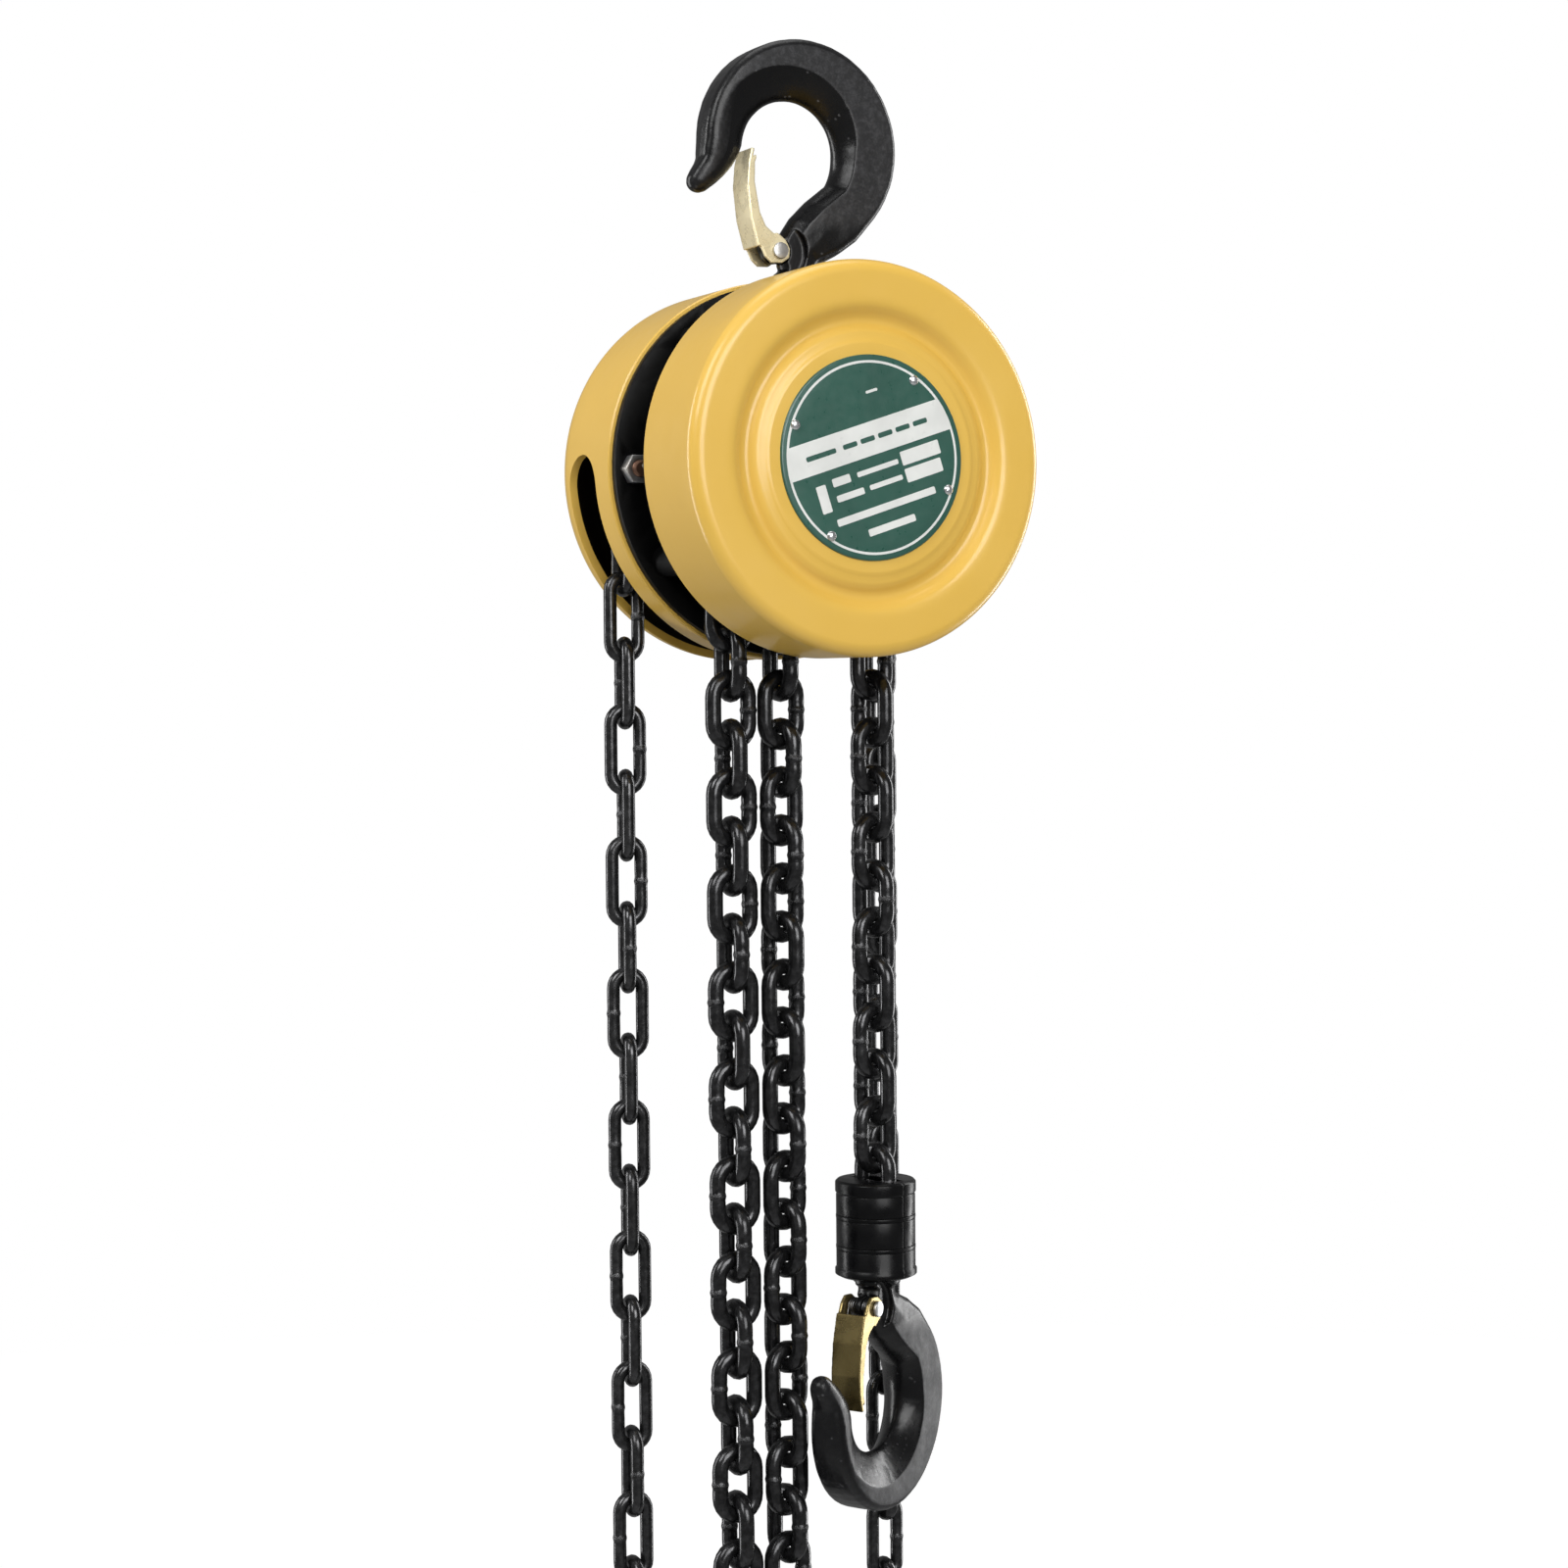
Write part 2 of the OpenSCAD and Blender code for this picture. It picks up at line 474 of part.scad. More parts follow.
// ---- hooks ---------------------------------------------------------------------------------
// Hook frame: bowl's middle at the origin, shank along -Z at x = shank_x, point on -X.
neck_x = -10.5;
latch_x = -6.5;
latch_z = -37;
module hook_body(wall) {
  c = [3.4, 0, 2.2];
  h = hook_t/2;
  low = -hook_reach - wall - 2*ball_r - 0.1;
  difference() {
    union() {
      difference() {
        translate(c) spun([[0, -h], [hook_r - 7, -h], [hook_r - 2.6, -h + 2.4], [hook_r, -h + 7],
          [hook_r, h - 7], [hook_r - 2.6, h - 2.4], [hook_r - 7, h], [0, h]]);
        spun([[0, -h - 1], [bowl_r + 9, -h - 1], [bowl_r + 8, -h], [bowl_r + 3.4, -h + 2], [bowl_r + 1, -h + 4.6],
          [bowl_r, -h + 7.6], [bowl_r, h - 7.6], [bowl_r + 1, h - 4.6], [bowl_r + 3.4, h - 2], [bowl_r + 8, h],
          [bowl_r + 9, h + 1], [0, h + 1]]);
        slab(-h - 1, h + 1) polygon([[-18, -5], [-9, -24], [-6, -28], [-2.5, -27.2], [13.9, -14.3], [0, 0]]);
        slab(-h - 1, h + 1) polygon([[-60, -1], [0, -1], [-6, -28], [neck_x, -31], [neck_x, -60], [-60, -60]]);
        slab(-h - 1, h + 1) polygon([[-60, -60], [-60, -37], [60, -37], [60, -60]]);
      }
      slab(-7, 7) polygon([[neck_x, -41.5], [neck_x, -32], [-6, -29], [0, -27], [16, -22], [30, -24],
        [20, -36], [11, -41.5]]);
      translate([shank_x - 0.3, 0, -44.6]) cylinder(r = 7.4, h = 14);
      translate([-29.5, 0, 2.5]) rotate([0, -158.7, 0]) cylinder(r1 = 8.2, r2 = 6, h = 9.66);
      translate([-33, 0, -6.5]) {
        sphere(6.2);
        rotate([0, -143.3, 0]) cylinder(r1 = 6, r2 = 4.6, h = 8.36);
      }
      translate([-38, 0, -13.2]) sphere(4.75);
    }
    for (s = [-1, 1]) rod(11.5, s > 0 ? 4.7 : -12, s > 0 ? 12 : -4.7, latch_x, latch_z);
    rod(2, -h, h, latch_x, latch_z);
    for (s = [-1, 1]) rod(5.6, s > 0 ? 1.1 : -5, s > 0 ? 5 : -1.1, latch_x, latch_z);
  }
  translate([shank_x, 0, -hook_reach + 0.3]) cylinder(r = 9.4, h = 3.2);
  translate([shank_x, 0, low - 0.1]) cylinder(r = shank_r, h = -low - hook_reach + 0.6);
  translate([shank_x, 0, low - head_t]) cylinder(r = head_r, h = head_t);
}
module thrust_balls(wall) for (k = [0:balls - 1]) translate([shank_x, 0, 0]) rotate([0, 0, 360*k/balls])
  translate([ball_ring, 0, -hook_reach - wall - ball_r - 0.05]) sphere(ball_r);
module latch() translate([latch_x, 0, latch_z]) rotate([0, -12, 0]) {
  for (s = [-1, 1]) difference() {
    slab(s > 0 ? 5 : -6.2, s > 0 ? 6.2 : -5)
      polygon([[-6.4, -1], [-4.4, -3.8], [0, -4.6], [3.4, -3.2], [4.5, 0], [3.4, 3.6], [-0.6, 8], [-2.6, 16],
        [-2.6, 26], [-1.8, 33], [-2, 36], [-4.6, 34], [-7.4, 26], [-8.4, 14], [-7.4, 3]]);
    rod(2.06, s > 0 ? 4 : -7, s > 0 ? 7 : -4);
  }
  slab(-6.2, 6.2) polygon([[-8.5, 3], [-7.2, 3], [-7.8, 14], [-6.6, 26], [-4.2, 33.6], [-2, 38.1], [-3.2, 38.6],
    [-5.5, 34], [-7.9, 26], [-9.1, 14]]);
}
module latch_pin() translate([latch_x, 0, latch_z]) {
  rod(1.98, -7.2, 7.2);
  for (s = [-1, 1]) rod(3, s > 0 ? 6.4 : -7.6, s > 0 ? 7.6 : -6.4);
}
module latch_spring() translate([latch_x, 0, latch_z]) {
  for (s = [-1, 1]) coil(3.1, 0.8, 4, s*3 - 1.2);
  for (s = [-1, 1]) translate([-3.1, s*3, 0]) rotate([0, -19, 0]) cylinder(r = 0.4, h = 12);
}
module top_frame() translate([0, 0, -bowl_r]) children();
module low_frame() hang() translate([fall_x, 0, hook_z]) rotate([0, 0, hook_turn]) rotate([180, 0, 0])
  translate([-shank_x, 0, 0]) children();
top_wall = 5.5;
low_wall = 10.8;
module top_hook() color("#232325") top_frame() hook_body(top_wall);
module top_thrust_balls() color("#c5c8ca") top_frame() thrust_balls(top_wall);
module top_latch() color("#d8c48a") top_frame() latch();
module top_latch_pin() color("#9c9587") top_frame() latch_pin();
module top_latch_spring() color("#3a3c3e") top_frame() latch_spring();
module lower_hook() color("#232325") low_frame() hook_body(low_wall);
module lower_thrust_balls() color("#c5c8ca") low_frame() thrust_balls(low_wall);
module lower_latch() color("#a08a4e") low_frame() latch();
module lower_latch_pin() color("#9c9587") low_frame() latch_pin();
module lower_latch_spring() color("#3a3c3e") low_frame() latch_spring();

module top_pin() color("#77797c") hang() rod(pin_r - 0.02, -rim_y - 1.5, rim_y + 1.5, 0, pin_z);
module yoke(s) color("#26272a") hang() intersection() {
  difference() {
    slab(-half_gap + 0.3, half_gap - 0.3)
      polygon([[-14, 46], [-10, 40.8], [10, 40.8], [14, 46], [14, 66], [11, yoke_top], [-11, yoke_top], [-14, 66]]);
    rod(pin_r + 0.05, -20, 20, 0, pin_z);
    translate([0, 0, yoke_top - top_wall - 8.7]) cylinder(r = head_r + 0.4, h = 8.7);
    translate([0, 0, yoke_top - 20]) cylinder(r = shank_r + 0.08, h = 21);
  }
  translate([s < 0 ? -20 : 0, -20, 30]) cube([20, 40, 50]);
}
module top_yoke_left() yoke(-1);
module top_yoke_right() yoke(1);

// ---- hook block ----------------------------------------------------------------------------
ring_at = [-14, -25.6];
module block_frame() hang() translate([fall_x, 0, block_top]) rotate([0, 0, load_twist]) children();
module block_half(s) color("#1e1e20") block_frame() intersection() {
  difference() {
    rotate_extrude() polygon([[0, 0], [block_r - 0.6, 0], [block_r + 0.3, -0.9], [block_r + 0.3, -4.6],
      [block_r - 0.3, -5.2], [block_r, -5.8], [block_r, -33.4], [block_r + 0.5, -34], [block_r + 0.5, -36],
      [block_r - 1.5, -block_h], [0, -block_h]]);
    translate([-load_d/2 - 0.45, -load_w/2 - 0.5, -17.2]) cube([load_d + 0.9, load_w + 1, 20]);
    translate([0, 0, -block_h + low_wall]) cylinder(r = head_r + 0.4, h = 9.4);
    translate([0, 0, -block_h - 1]) cylinder(r = shank_r + 0.08, h = 20);
    translate([-13, 0, chain_pin_z - block_top]) rotate([0, 90, 0]) cylinder(r = chain_pin_r, h = 26);
    for (z = ring_at) translate([0, 0, z]) rotate_extrude()
      polygon([[block_r - 1.3, -0.8], [block_r + 1, -0.8], [block_r + 1, 0.8], [block_r - 1.3, 0.8]]);
  }
  translate([s < 0 ? -30 : 0, -30, -60]) cube([30, 60, 80]);
}
module lower_block_left() block_half(-1);
module lower_block_right() block_half(1);
module block_rings() color("#2a2b2d") block_frame() for (z = ring_at) difference() {
  translate([0, 0, z]) rotate_extrude()
    polygon([[block_r - 1.28, -0.7], [block_r + 0.1, -0.7], [block_r + 0.1, 0.7], [block_r - 1.28, 0.7]]);
  translate([0, block_r, z]) cube([2.2, 8, 4], center = true);
}
module chain_pin() color("#77797c") block_frame() translate([-12.95, 0, chain_pin_z - block_top])
  rotate([0, 90, 0]) cylinder(r = chain_pin_r - 0.02, h = 25.9);

front_side_plate();
rear_side_plate();
stay_bolts();
stay_spacers();
stay_nuts();
gear_plate();
gear_cover();
nameplate();
nameplate_rivets();
wheel_cover();
cover_studs();
cover_nuts();
chain_stripper();
roller_pins();
guide_roller_left();
guide_roller_right();
tail_pin();
sheave_bearings();
load_sheave();
load_gear();
sheave_circlip();
drive_shaft();
brake_hub();
friction_discs();
ratchet_disc();
hand_wheel();
castle_nut();
split_pin();
disc_gear_left();
disc_gear_right();
pawl_upper();
pawl_lower();
pawl_pins();
pawl_springs();
top_pin();
top_yoke_left();
top_yoke_right();
top_hook();
top_thrust_balls();
top_latch();
top_latch_pin();
top_latch_spring();
lower_block_left();
lower_block_right();
block_rings();
chain_pin();
lower_hook();
lower_thrust_balls();
lower_latch();
lower_latch_pin();
lower_latch_spring();
load_chain_upper();
load_chain_lower();
load_chain_slack();
hand_chain();
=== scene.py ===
import bpy, bmesh, json, math, random
import numpy as np
from mathutils import Matrix, Vector, noise


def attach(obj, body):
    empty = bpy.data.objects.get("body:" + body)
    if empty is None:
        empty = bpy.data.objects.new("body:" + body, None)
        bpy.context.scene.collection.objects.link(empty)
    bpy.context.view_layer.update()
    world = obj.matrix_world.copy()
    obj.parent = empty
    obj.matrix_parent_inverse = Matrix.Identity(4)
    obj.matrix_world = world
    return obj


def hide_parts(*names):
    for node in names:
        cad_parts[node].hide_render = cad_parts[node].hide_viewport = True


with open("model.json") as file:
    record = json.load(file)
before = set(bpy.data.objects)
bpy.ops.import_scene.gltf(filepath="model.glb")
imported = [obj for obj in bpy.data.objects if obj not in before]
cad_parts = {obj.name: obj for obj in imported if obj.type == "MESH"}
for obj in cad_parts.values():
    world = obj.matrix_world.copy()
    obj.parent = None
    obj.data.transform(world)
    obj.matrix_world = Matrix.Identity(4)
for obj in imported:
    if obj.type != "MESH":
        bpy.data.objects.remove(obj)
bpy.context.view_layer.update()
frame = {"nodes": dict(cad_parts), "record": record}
N = frame["nodes"]
BODY = {n: b for b, ns in frame["record"]["behaviour"]["bodies"].items() for n in ns}
SLOT = {s["node"]: s["material_slot"] for s in frame["record"]["subparts"]}
AX = Vector((0.004, 0.0, -0.1355))     # a point on the hoist axis in the row frame
MM = 0.001
HAND_Y = 39.7                          # the plane that the hand chain runs in, mm
HOOK_PIN = (-6.5, -37)                 # x and z of the latch's pin in the hook's own frame, mm
scene = bpy.context.scene


def at(x, y, z):
    """A point given in mm from the hoist axis, in metres in the row frame."""
    return (x * MM + AX.x, y * MM, z * MM + AX.z)


# ---- node materials -------------------------------------------------------------------------
class Nodes:
    """A short way to write a node tree: a method that adds a node returns the output that is used."""

    def __init__(self, name):
        self.mat = bpy.data.materials.new(name)
        self.mat.use_nodes = True
        self.tree = self.mat.node_tree
        self.shader = next(n for n in self.tree.nodes if n.type == "BSDF_PRINCIPLED")
        self.co = self.tree.nodes.new("ShaderNodeTexCoord").outputs["Object"]

    def link(self, a, b):
        self.tree.links.new(a, b)

    def set(self, **values):
        for key, v in values.items():
            socket = self.shader.inputs[key.replace("_", " ")]
            if isinstance(v, bpy.types.NodeSocket):
                self.link(v, socket)
            else:
                socket.default_value = v

    def noise(self, scale, detail=3.0, rough=0.55, distort=0.0):
        n = self.tree.nodes.new("ShaderNodeTexNoise")
        for key, v in (("Scale", scale), ("Detail", detail), ("Roughness", rough), ("Distortion", distort)):
            n.inputs[key].default_value = v
        self.link(self.co, n.inputs["Vector"])
        return n.outputs["Fac"]

    def fit(self, value, a, b, lo, hi):
        n = self.tree.nodes.new("ShaderNodeMapRange")
        n.interpolation_type = "SMOOTHSTEP"
        self.link(value, n.inputs["Value"])
        for key, v in (("From Min", a), ("From Max", b), ("To Min", lo), ("To Max", hi)):
            n.inputs[key].default_value = v
        return n.outputs["Result"]

    def math(self, op, a, b):
        n = self.tree.nodes.new("ShaderNodeMath")
        n.operation = op
        for k, v in enumerate((a, b)):
            if isinstance(v, bpy.types.NodeSocket):
                self.link(v, n.inputs[k])
            else:
                n.inputs[k].default_value = v
        return n.outputs[0]

    def mix(self, fac, a, b):
        n = self.tree.nodes.new("ShaderNodeMix")
        n.data_type = "RGBA"
        self.link(fac, n.inputs["Factor"])
        for key, v in (("A", a), ("B", b)):
            socket = next(s for s in n.inputs if s.name == key and s.type == "RGBA")
            if isinstance(v, bpy.types.NodeSocket):
                self.link(v, socket)
            else:
                socket.default_value = (*v, 1.0)
        return next(s for s in n.outputs if s.type == "RGBA")

    def bump(self, height, distance, strength, below=None):
        n = self.tree.nodes.new("ShaderNodeBump")
        n.inputs["Distance"].default_value = distance
        n.inputs["Strength"].default_value = strength
        self.link(height, n.inputs["Height"])
        if below:
            self.link(below, n.inputs["Normal"])
        return n.outputs["Normal"]

    def attribute(self, name):
        n = self.tree.nodes.new("ShaderNodeAttribute")
        n.attribute_name = name
        return n.outputs["Fac"]

    def edges(self, lo, hi):
        n = self.tree.nodes.new("ShaderNodeNewGeometry")
        return self.fit(n.outputs["Pointiness"], lo, hi, 0.0, 1.0)


def enamel():
    m = Nodes("yellow_enamel")
    tone = m.fit(m.noise(14, 2), 0.35, 0.7, 0.0, 1.0)
    paint = m.mix(tone, (0.755, 0.472, 0.082), (0.785, 0.498, 0.096))
    dust = m.fit(m.noise(60, 4, 0.7), 0.55, 0.85, 0.0, 0.35)
    m.set(Base_Color=m.mix(dust, paint, (0.70, 0.425, 0.070)), Metallic=0.0, IOR=1.5,
          Roughness=m.fit(m.noise(90, 3), 0.3, 0.75, 0.29, 0.37),
          Specular_IOR_Level=0.45, Coat_Weight=0.25, Coat_Roughness=0.14)
    peel = m.bump(m.noise(620, 2, 0.5), 0.000006, 0.4)
    m.set(Normal=m.bump(m.noise(45, 2), 0.00006, 0.3, below=peel))
    return m.mat


def black_paint(name, base, rough, grain=900.0, gloss=0.2):
    m = Nodes(name)
    tone = m.fit(m.noise(70, 4, 0.6), 0.35, 0.75, 0.0, 1.0)
    low = tuple(c * 0.6 for c in base)
    m.set(Base_Color=m.mix(tone, low, base),
          Roughness=m.fit(m.noise(160, 3), 0.3, 0.7, rough - 0.07, rough + 0.08),
          Specular_IOR_Level=gloss)
    m.set(Normal=m.bump(m.noise(grain, 3), 0.00003, 0.5))
    return m.mat


def forging(name, face, glossy, worn):
    """Black paint over a forging: open grain on the flat faces, smooth and dark in the bowl."""
    m = Nodes(name)
    flat = m.attribute("flat")
    grain = m.noise(520, 6, 0.72)
    coarse = m.noise(120, 4, 0.6)
    speck = m.fit(grain, 0.42, 0.68, 0.0, 1.0)
    skin = m.mix(speck, tuple(c * 0.55 for c in face), tuple(c * 1.5 for c in face))
    colour = m.mix(flat, glossy, skin)
    edge = m.math("MULTIPLY", m.edges(0.54, 0.62), m.fit(coarse, 0.35, 0.7, 0.1, 0.8))
    m.set(Base_Color=m.mix(edge, colour, worn),
          Roughness=m.math("ADD", m.math("MULTIPLY", flat, 0.24), m.fit(coarse, 0.3, 0.7, 0.22, 0.31)),
          Specular_IOR_Level=0.34)
    fine = m.bump(grain, 0.00009, 0.65)
    m.set(Normal=m.bump(coarse, 0.00035, 0.5, below=fine))
    return m.mat


def chain_black(name, base, worn, rough):
    m = Nodes(name)
    scale = m.noise(380, 5, 0.65)
    tone = m.fit(scale, 0.38, 0.66, 0.0, 1.0)
    skin = m.mix(tone, tuple(c * 0.5 for c in base), base)
    rub = m.math("MULTIPLY", m.attribute("rub"), m.fit(m.noise(900, 4, 0.7), 0.36, 0.62, 0.15, 1.0))
    m.set(Base_Color=m.mix(rub, skin, worn), Metallic=m.fit(rub, 0.0, 1.0, 0.85, 1.0),
          Roughness=m.fit(m.noise(210, 4), 0.3, 0.7, rough - 0.05, rough + 0.07),
          Specular_IOR_Level=0.6)
    weld = m.math("MULTIPLY", m.attribute("weld"), m.noise(1500, 3, 0.7))
    pits = m.bump(scale, 0.000012, 0.6)
    m.set(Normal=m.bump(weld, 0.0004, 0.8, below=pits))
    return m.mat


def bare_metal(name, base, dark, rough):
    m = Nodes(name)
    lines = m.noise(500, 4, 0.6)
    stain = m.fit(m.noise(90, 5, 0.65), 0.4, 0.75, 0.0, 1.0)
    fine = m.fit(lines, 0.3, 0.7, rough - 0.06, rough + 0.08)
    m.set(Base_Color=m.mix(stain, base, dark), Metallic=1.0,
          Roughness=m.math("ADD", fine, m.fit(stain, 0, 1, 0, 0.1)))
    m.set(Normal=m.bump(lines, 0.00001, 0.6))
    return m.mat


def plated(name, base, tint, rough, metal=0.85, cloud=130):
    """Zinc plate: soft cloudy bloom and a faint second tint."""
    m = Nodes(name)
    bloom = m.fit(m.noise(cloud, 3, 0.5, 0.3), 0.35, 0.7, 0.0, 1.0)
    m.set(Base_Color=m.mix(bloom, base, tint), Metallic=metal,
          Roughness=m.fit(m.noise(240, 4), 0.3, 0.7, rough - 0.04, rough + 0.06))
    m.set(Normal=m.bump(m.noise(400, 2, 0.5), 0.00001, 0.3))
    return m.mat


def cast_iron(name):
    m = Nodes(name)
    sand = m.noise(650, 5, 0.7)
    tone = m.fit(sand, 0.4, 0.65, 0.0, 1.0)
    skin = m.mix(tone, (0.022, 0.022, 0.024), (0.075, 0.073, 0.072))
    m.set(Base_Color=m.mix(m.edges(0.53, 0.6), skin, (0.33, 0.33, 0.34)), Metallic=0.55,
          Roughness=m.fit(m.noise(150, 3), 0.3, 0.7, 0.42, 0.6))
    m.set(Normal=m.bump(sand, 0.0001, 0.7))
    return m.mat


def printed(name, base):
    m = Nodes(name)
    tone = m.fit(m.noise(55, 3), 0.3, 0.7, 0.0, 1.0)
    m.set(Base_Color=m.mix(tone, tuple(c * 0.88 for c in base), base),
          Roughness=m.fit(m.noise(300, 3), 0.3, 0.7, 0.27, 0.40),
          Coat_Weight=0.4, Coat_Roughness=0.12)
    m.set(Normal=m.bump(m.noise(900, 2), 0.00001, 0.5))
    return m.mat


def lining():
    m = Nodes("woven_lining")
    weave = m.tree.nodes.new("ShaderNodeTexWave")
    weave.inputs["Scale"].default_value = 420
    weave.inputs["Distortion"].default_value = 1.5
    m.link(m.co, weave.inputs["Vector"])
    fibre = m.noise(800, 5, 0.7)
    thread = m.math("MULTIPLY", weave.outputs["Fac"], fibre)
    m.set(Base_Color=m.mix(thread, (0.13, 0.08, 0.05), (0.33, 0.2, 0.11)), Roughness=0.85)
    m.set(Normal=m.bump(weave.outputs["Fac"], 0.0001, 0.6))
    return m.mat


LOOK = {
    "yellow_paint": enamel(),
    "black_plate": black_paint("black_side_plate", (0.003, 0.003, 0.003), 0.42, gloss=0.12),
    "forged_black": forging("forged_black", (0.026, 0.026, 0.028), (0.003, 0.003, 0.0034),
                            (0.10, 0.10, 0.105)),
    "chain_black": chain_black("load_chain_black", (0.062, 0.062, 0.064), (0.26, 0.26, 0.27), 0.21),
    "hand_chain_black": chain_black("hand_chain_black", (0.080, 0.080, 0.082),
                                    (0.30, 0.30, 0.31), 0.22),
    "block_black": black_paint("block_black", (0.0035, 0.0035, 0.004), 0.30, 1300.0),
    "machined_steel": bare_metal("machined_steel", (0.52, 0.53, 0.55), (0.33, 0.32, 0.31),
                                 0.27),
    "dark_steel": bare_metal("dark_steel", (0.12, 0.125, 0.13), (0.05, 0.05, 0.052), 0.36),
    "cast_wheel": cast_iron("cast_wheel"),
    "zinc_yellow": plated("zinc_yellow", (0.80, 0.70, 0.42), (0.66, 0.56, 0.31), 0.30),
    "zinc_bronze": plated("zinc_bronze", (0.27, 0.205, 0.080), (0.36, 0.28, 0.12), 0.28, 0.9, 60),
    "zinc_white": plated("zinc_white", (0.55, 0.56, 0.57), (0.42, 0.40, 0.37), 0.33),
    "stud_brown": plated("stud_brown", (0.36, 0.20, 0.13), (0.20, 0.11, 0.08), 0.40),
    "friction": lining(),
    "green_plate": printed("plate_green", (0.026, 0.100, 0.074)),
    "rivet": bare_metal("rivet_bright", (0.82, 0.83, 0.84), (0.62, 0.62, 0.62), 0.22),
    "spring_steel": bare_metal("spring_steel", (0.16, 0.16, 0.165), (0.08, 0.075, 0.07), 0.34),
}
# painted shade: near-black paint on the covers' insides, standing for the shade within the covers
INSIDE_SHADE = black_paint("inner_painted_shade", (0.020, 0.012, 0.008), 0.6, 700.0)
WHITE = printed("plate_white", (0.80, 0.81, 0.78))
# painted light: the top latch's yellow zinc plating made lighter and less metallic, a lit copy of it
LATCH_PAINTED_LIGHT = plated("latch_painted_light", (0.86, 0.76, 0.50), (0.78, 0.67, 0.41), 0.28, 0.4, 50)

for name, o in N.items():
    for s in o.material_slots:
        s.material = LOOK[SLOT[name]]


# ---- mesh helpers ---------------------------------------------------------------------------
def add(name, mesh, like, look=None, angle=35, stands_for=()):
    """A new piece that rides on the body of the CAD node `like` and takes its look. It shows in place of
    the nodes that it stands for."""
    o = bpy.data.objects.new(name, mesh)
    scene.collection.objects.link(o)
    mesh.materials.clear()
    mesh.materials.append(look or LOOK[SLOT[like]])
    if angle:
        mesh.polygons.foreach_set("use_smooth", [True] * len(mesh.polygons))
        mesh.set_sharp_from_angle(angle=math.radians(angle))
    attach(o, BODY[like])
    if stands_for:
        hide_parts(*stands_for)
    return o


def mesh_of(verts, faces):
    me = bpy.data.meshes.new("m")
    me.from_pydata([tuple(v) for v in verts], [], faces)
    me.validate()
    me.update()
    return me


def evaluated(mesh, *mods):
    """The mesh after the given modifiers, each a (type, {setting: value}) pair."""
    o = bpy.data.objects.new("tmp", mesh)
    scene.collection.objects.link(o)
    for kind, settings in mods:
        m = o.modifiers.new(kind, kind)
        for k, v in settings.items():
            setattr(m, k, v)
    dg = bpy.context.evaluated_depsgraph_get()
    out = bpy.data.meshes.new_from_object(o.evaluated_get(dg), depsgraph=dg)
    bpy.data.objects.remove(o)
    return out


def cad_mesh(node, flat_deg=None):
    """The CAD node's mesh with its verts welded; with flat_deg, its flat faces are made whole as well."""
    bm = bmesh.new()
    bm.from_mesh(N[node].data)
    bmesh.ops.remove_doubles(bm, verts=bm.verts, dist=0.002 * MM)
    if flat_deg:
        bmesh.ops.dissolve_limit(bm, angle_limit=math.radians(flat_deg), verts=bm.verts, edges=bm.edges)
    me = bpy.data.meshes.new(node)
    bm.to_mesh(me)
    bm.free()
    return me


def spline(points, steps):
    """A smooth curve through the points, steps to each span."""
    p = [points[0]] + list(points) + [points[-1]]
    out = []
    for i in range(1, len(p) - 2):
        a, b, c, d = (np.array(q, float) for q in p[i - 1:i + 3])
        for k in range(steps):
            t = k / steps
            square, cube = 2 * a - 5 * b + 4 * c - d, 3 * b - a - 3 * c + d
            out.append(0.5 * (2 * b + (c - a) * t + square * t * t + cube * t ** 3))
    out.append(np.array(points[-1], float))
    return [tuple(q) for q in out]


def polar(c, r, a):
    return (c[0] + r * math.cos(math.radians(a)), c[1] + r * math.sin(math.radians(a)))


def arc(cx, cy, r, a0, a1, n):
    return [polar((cx, cy), r, a0 + (a1 - a0) * i / n) for i in range(n + 1)]


def prism(n):
    """Faces of a prism: n verts round one end, then n round the other."""
    sides = [[i, (i + 1) % n, n + (i + 1) % n, n + i] for i in range(n)]
    return [list(range(n)), list(range(2 * n - 1, n - 1, -1))] + sides


def loft(rings, n, closed=False):
    """Faces through rings of n verts each, capped at both ends or closed on themselves."""
    faces = []
    for i in range(rings if closed else rings - 1):
        a, b = i * n, (i + 1) % rings * n
        faces += [[a + k, a + (k + 1) % n, b + (k + 1) % n, b + k] for k in range(n)]
    if not closed:
        faces += [list(range(n)), list(range((rings - 1) * n, rings * n))]
    return faces


def lathe(profile, n, x=0.0, z=0.0, closed=True):
    """Verts in metres and faces of a profile of (radius, y) in mm, turned about Y through (x, z)."""
    verts, rings, faces = [], [], []
    for r, y in profile:
        if r < 1e-6:
            rings.append([len(verts)] * n)
            verts.append(at(x, y, z))
            continue
        rings.append(list(range(len(verts), len(verts) + n)))
        for k in range(n):
            t = 2 * math.pi * k / n
            verts.append(at(x + r * math.cos(t), y, z + r * math.sin(t)))
    pairs = list(zip(rings, rings[1:] + rings[:1])) if closed else list(zip(rings, rings[1:]))
    for a, b in pairs:
        for k in range(n):
            f = [a[k], a[(k + 1) % n], b[(k + 1) % n], b[k]]
            f = [v for i, v in enumerate(f) if v != f[i - 1]]
            if len(f) > 2:
                faces.append(f)
    return verts, faces


def joined(parts):
    verts, faces = [], []
    for v, f in parts:
        k = len(verts)
        verts += v
        faces += [[i + k for i in q] for q in f]
    return verts, faces


def outward(mesh):
    bm = bmesh.new()
    bm.from_mesh(mesh)
    bmesh.ops.recalc_face_normals(bm, faces=bm.faces)
    bm.to_mesh(mesh)
    bm.free()
    return mesh


def cut(mesh, cutter):
    c = bpy.data.objects.new("cutter", cutter)
    scene.collection.objects.link(c)
    out = evaluated(mesh, ("BOOLEAN", {"operation": "DIFFERENCE", "solver": "EXACT", "object": c}))
    bpy.data.objects.remove(c)
    return out


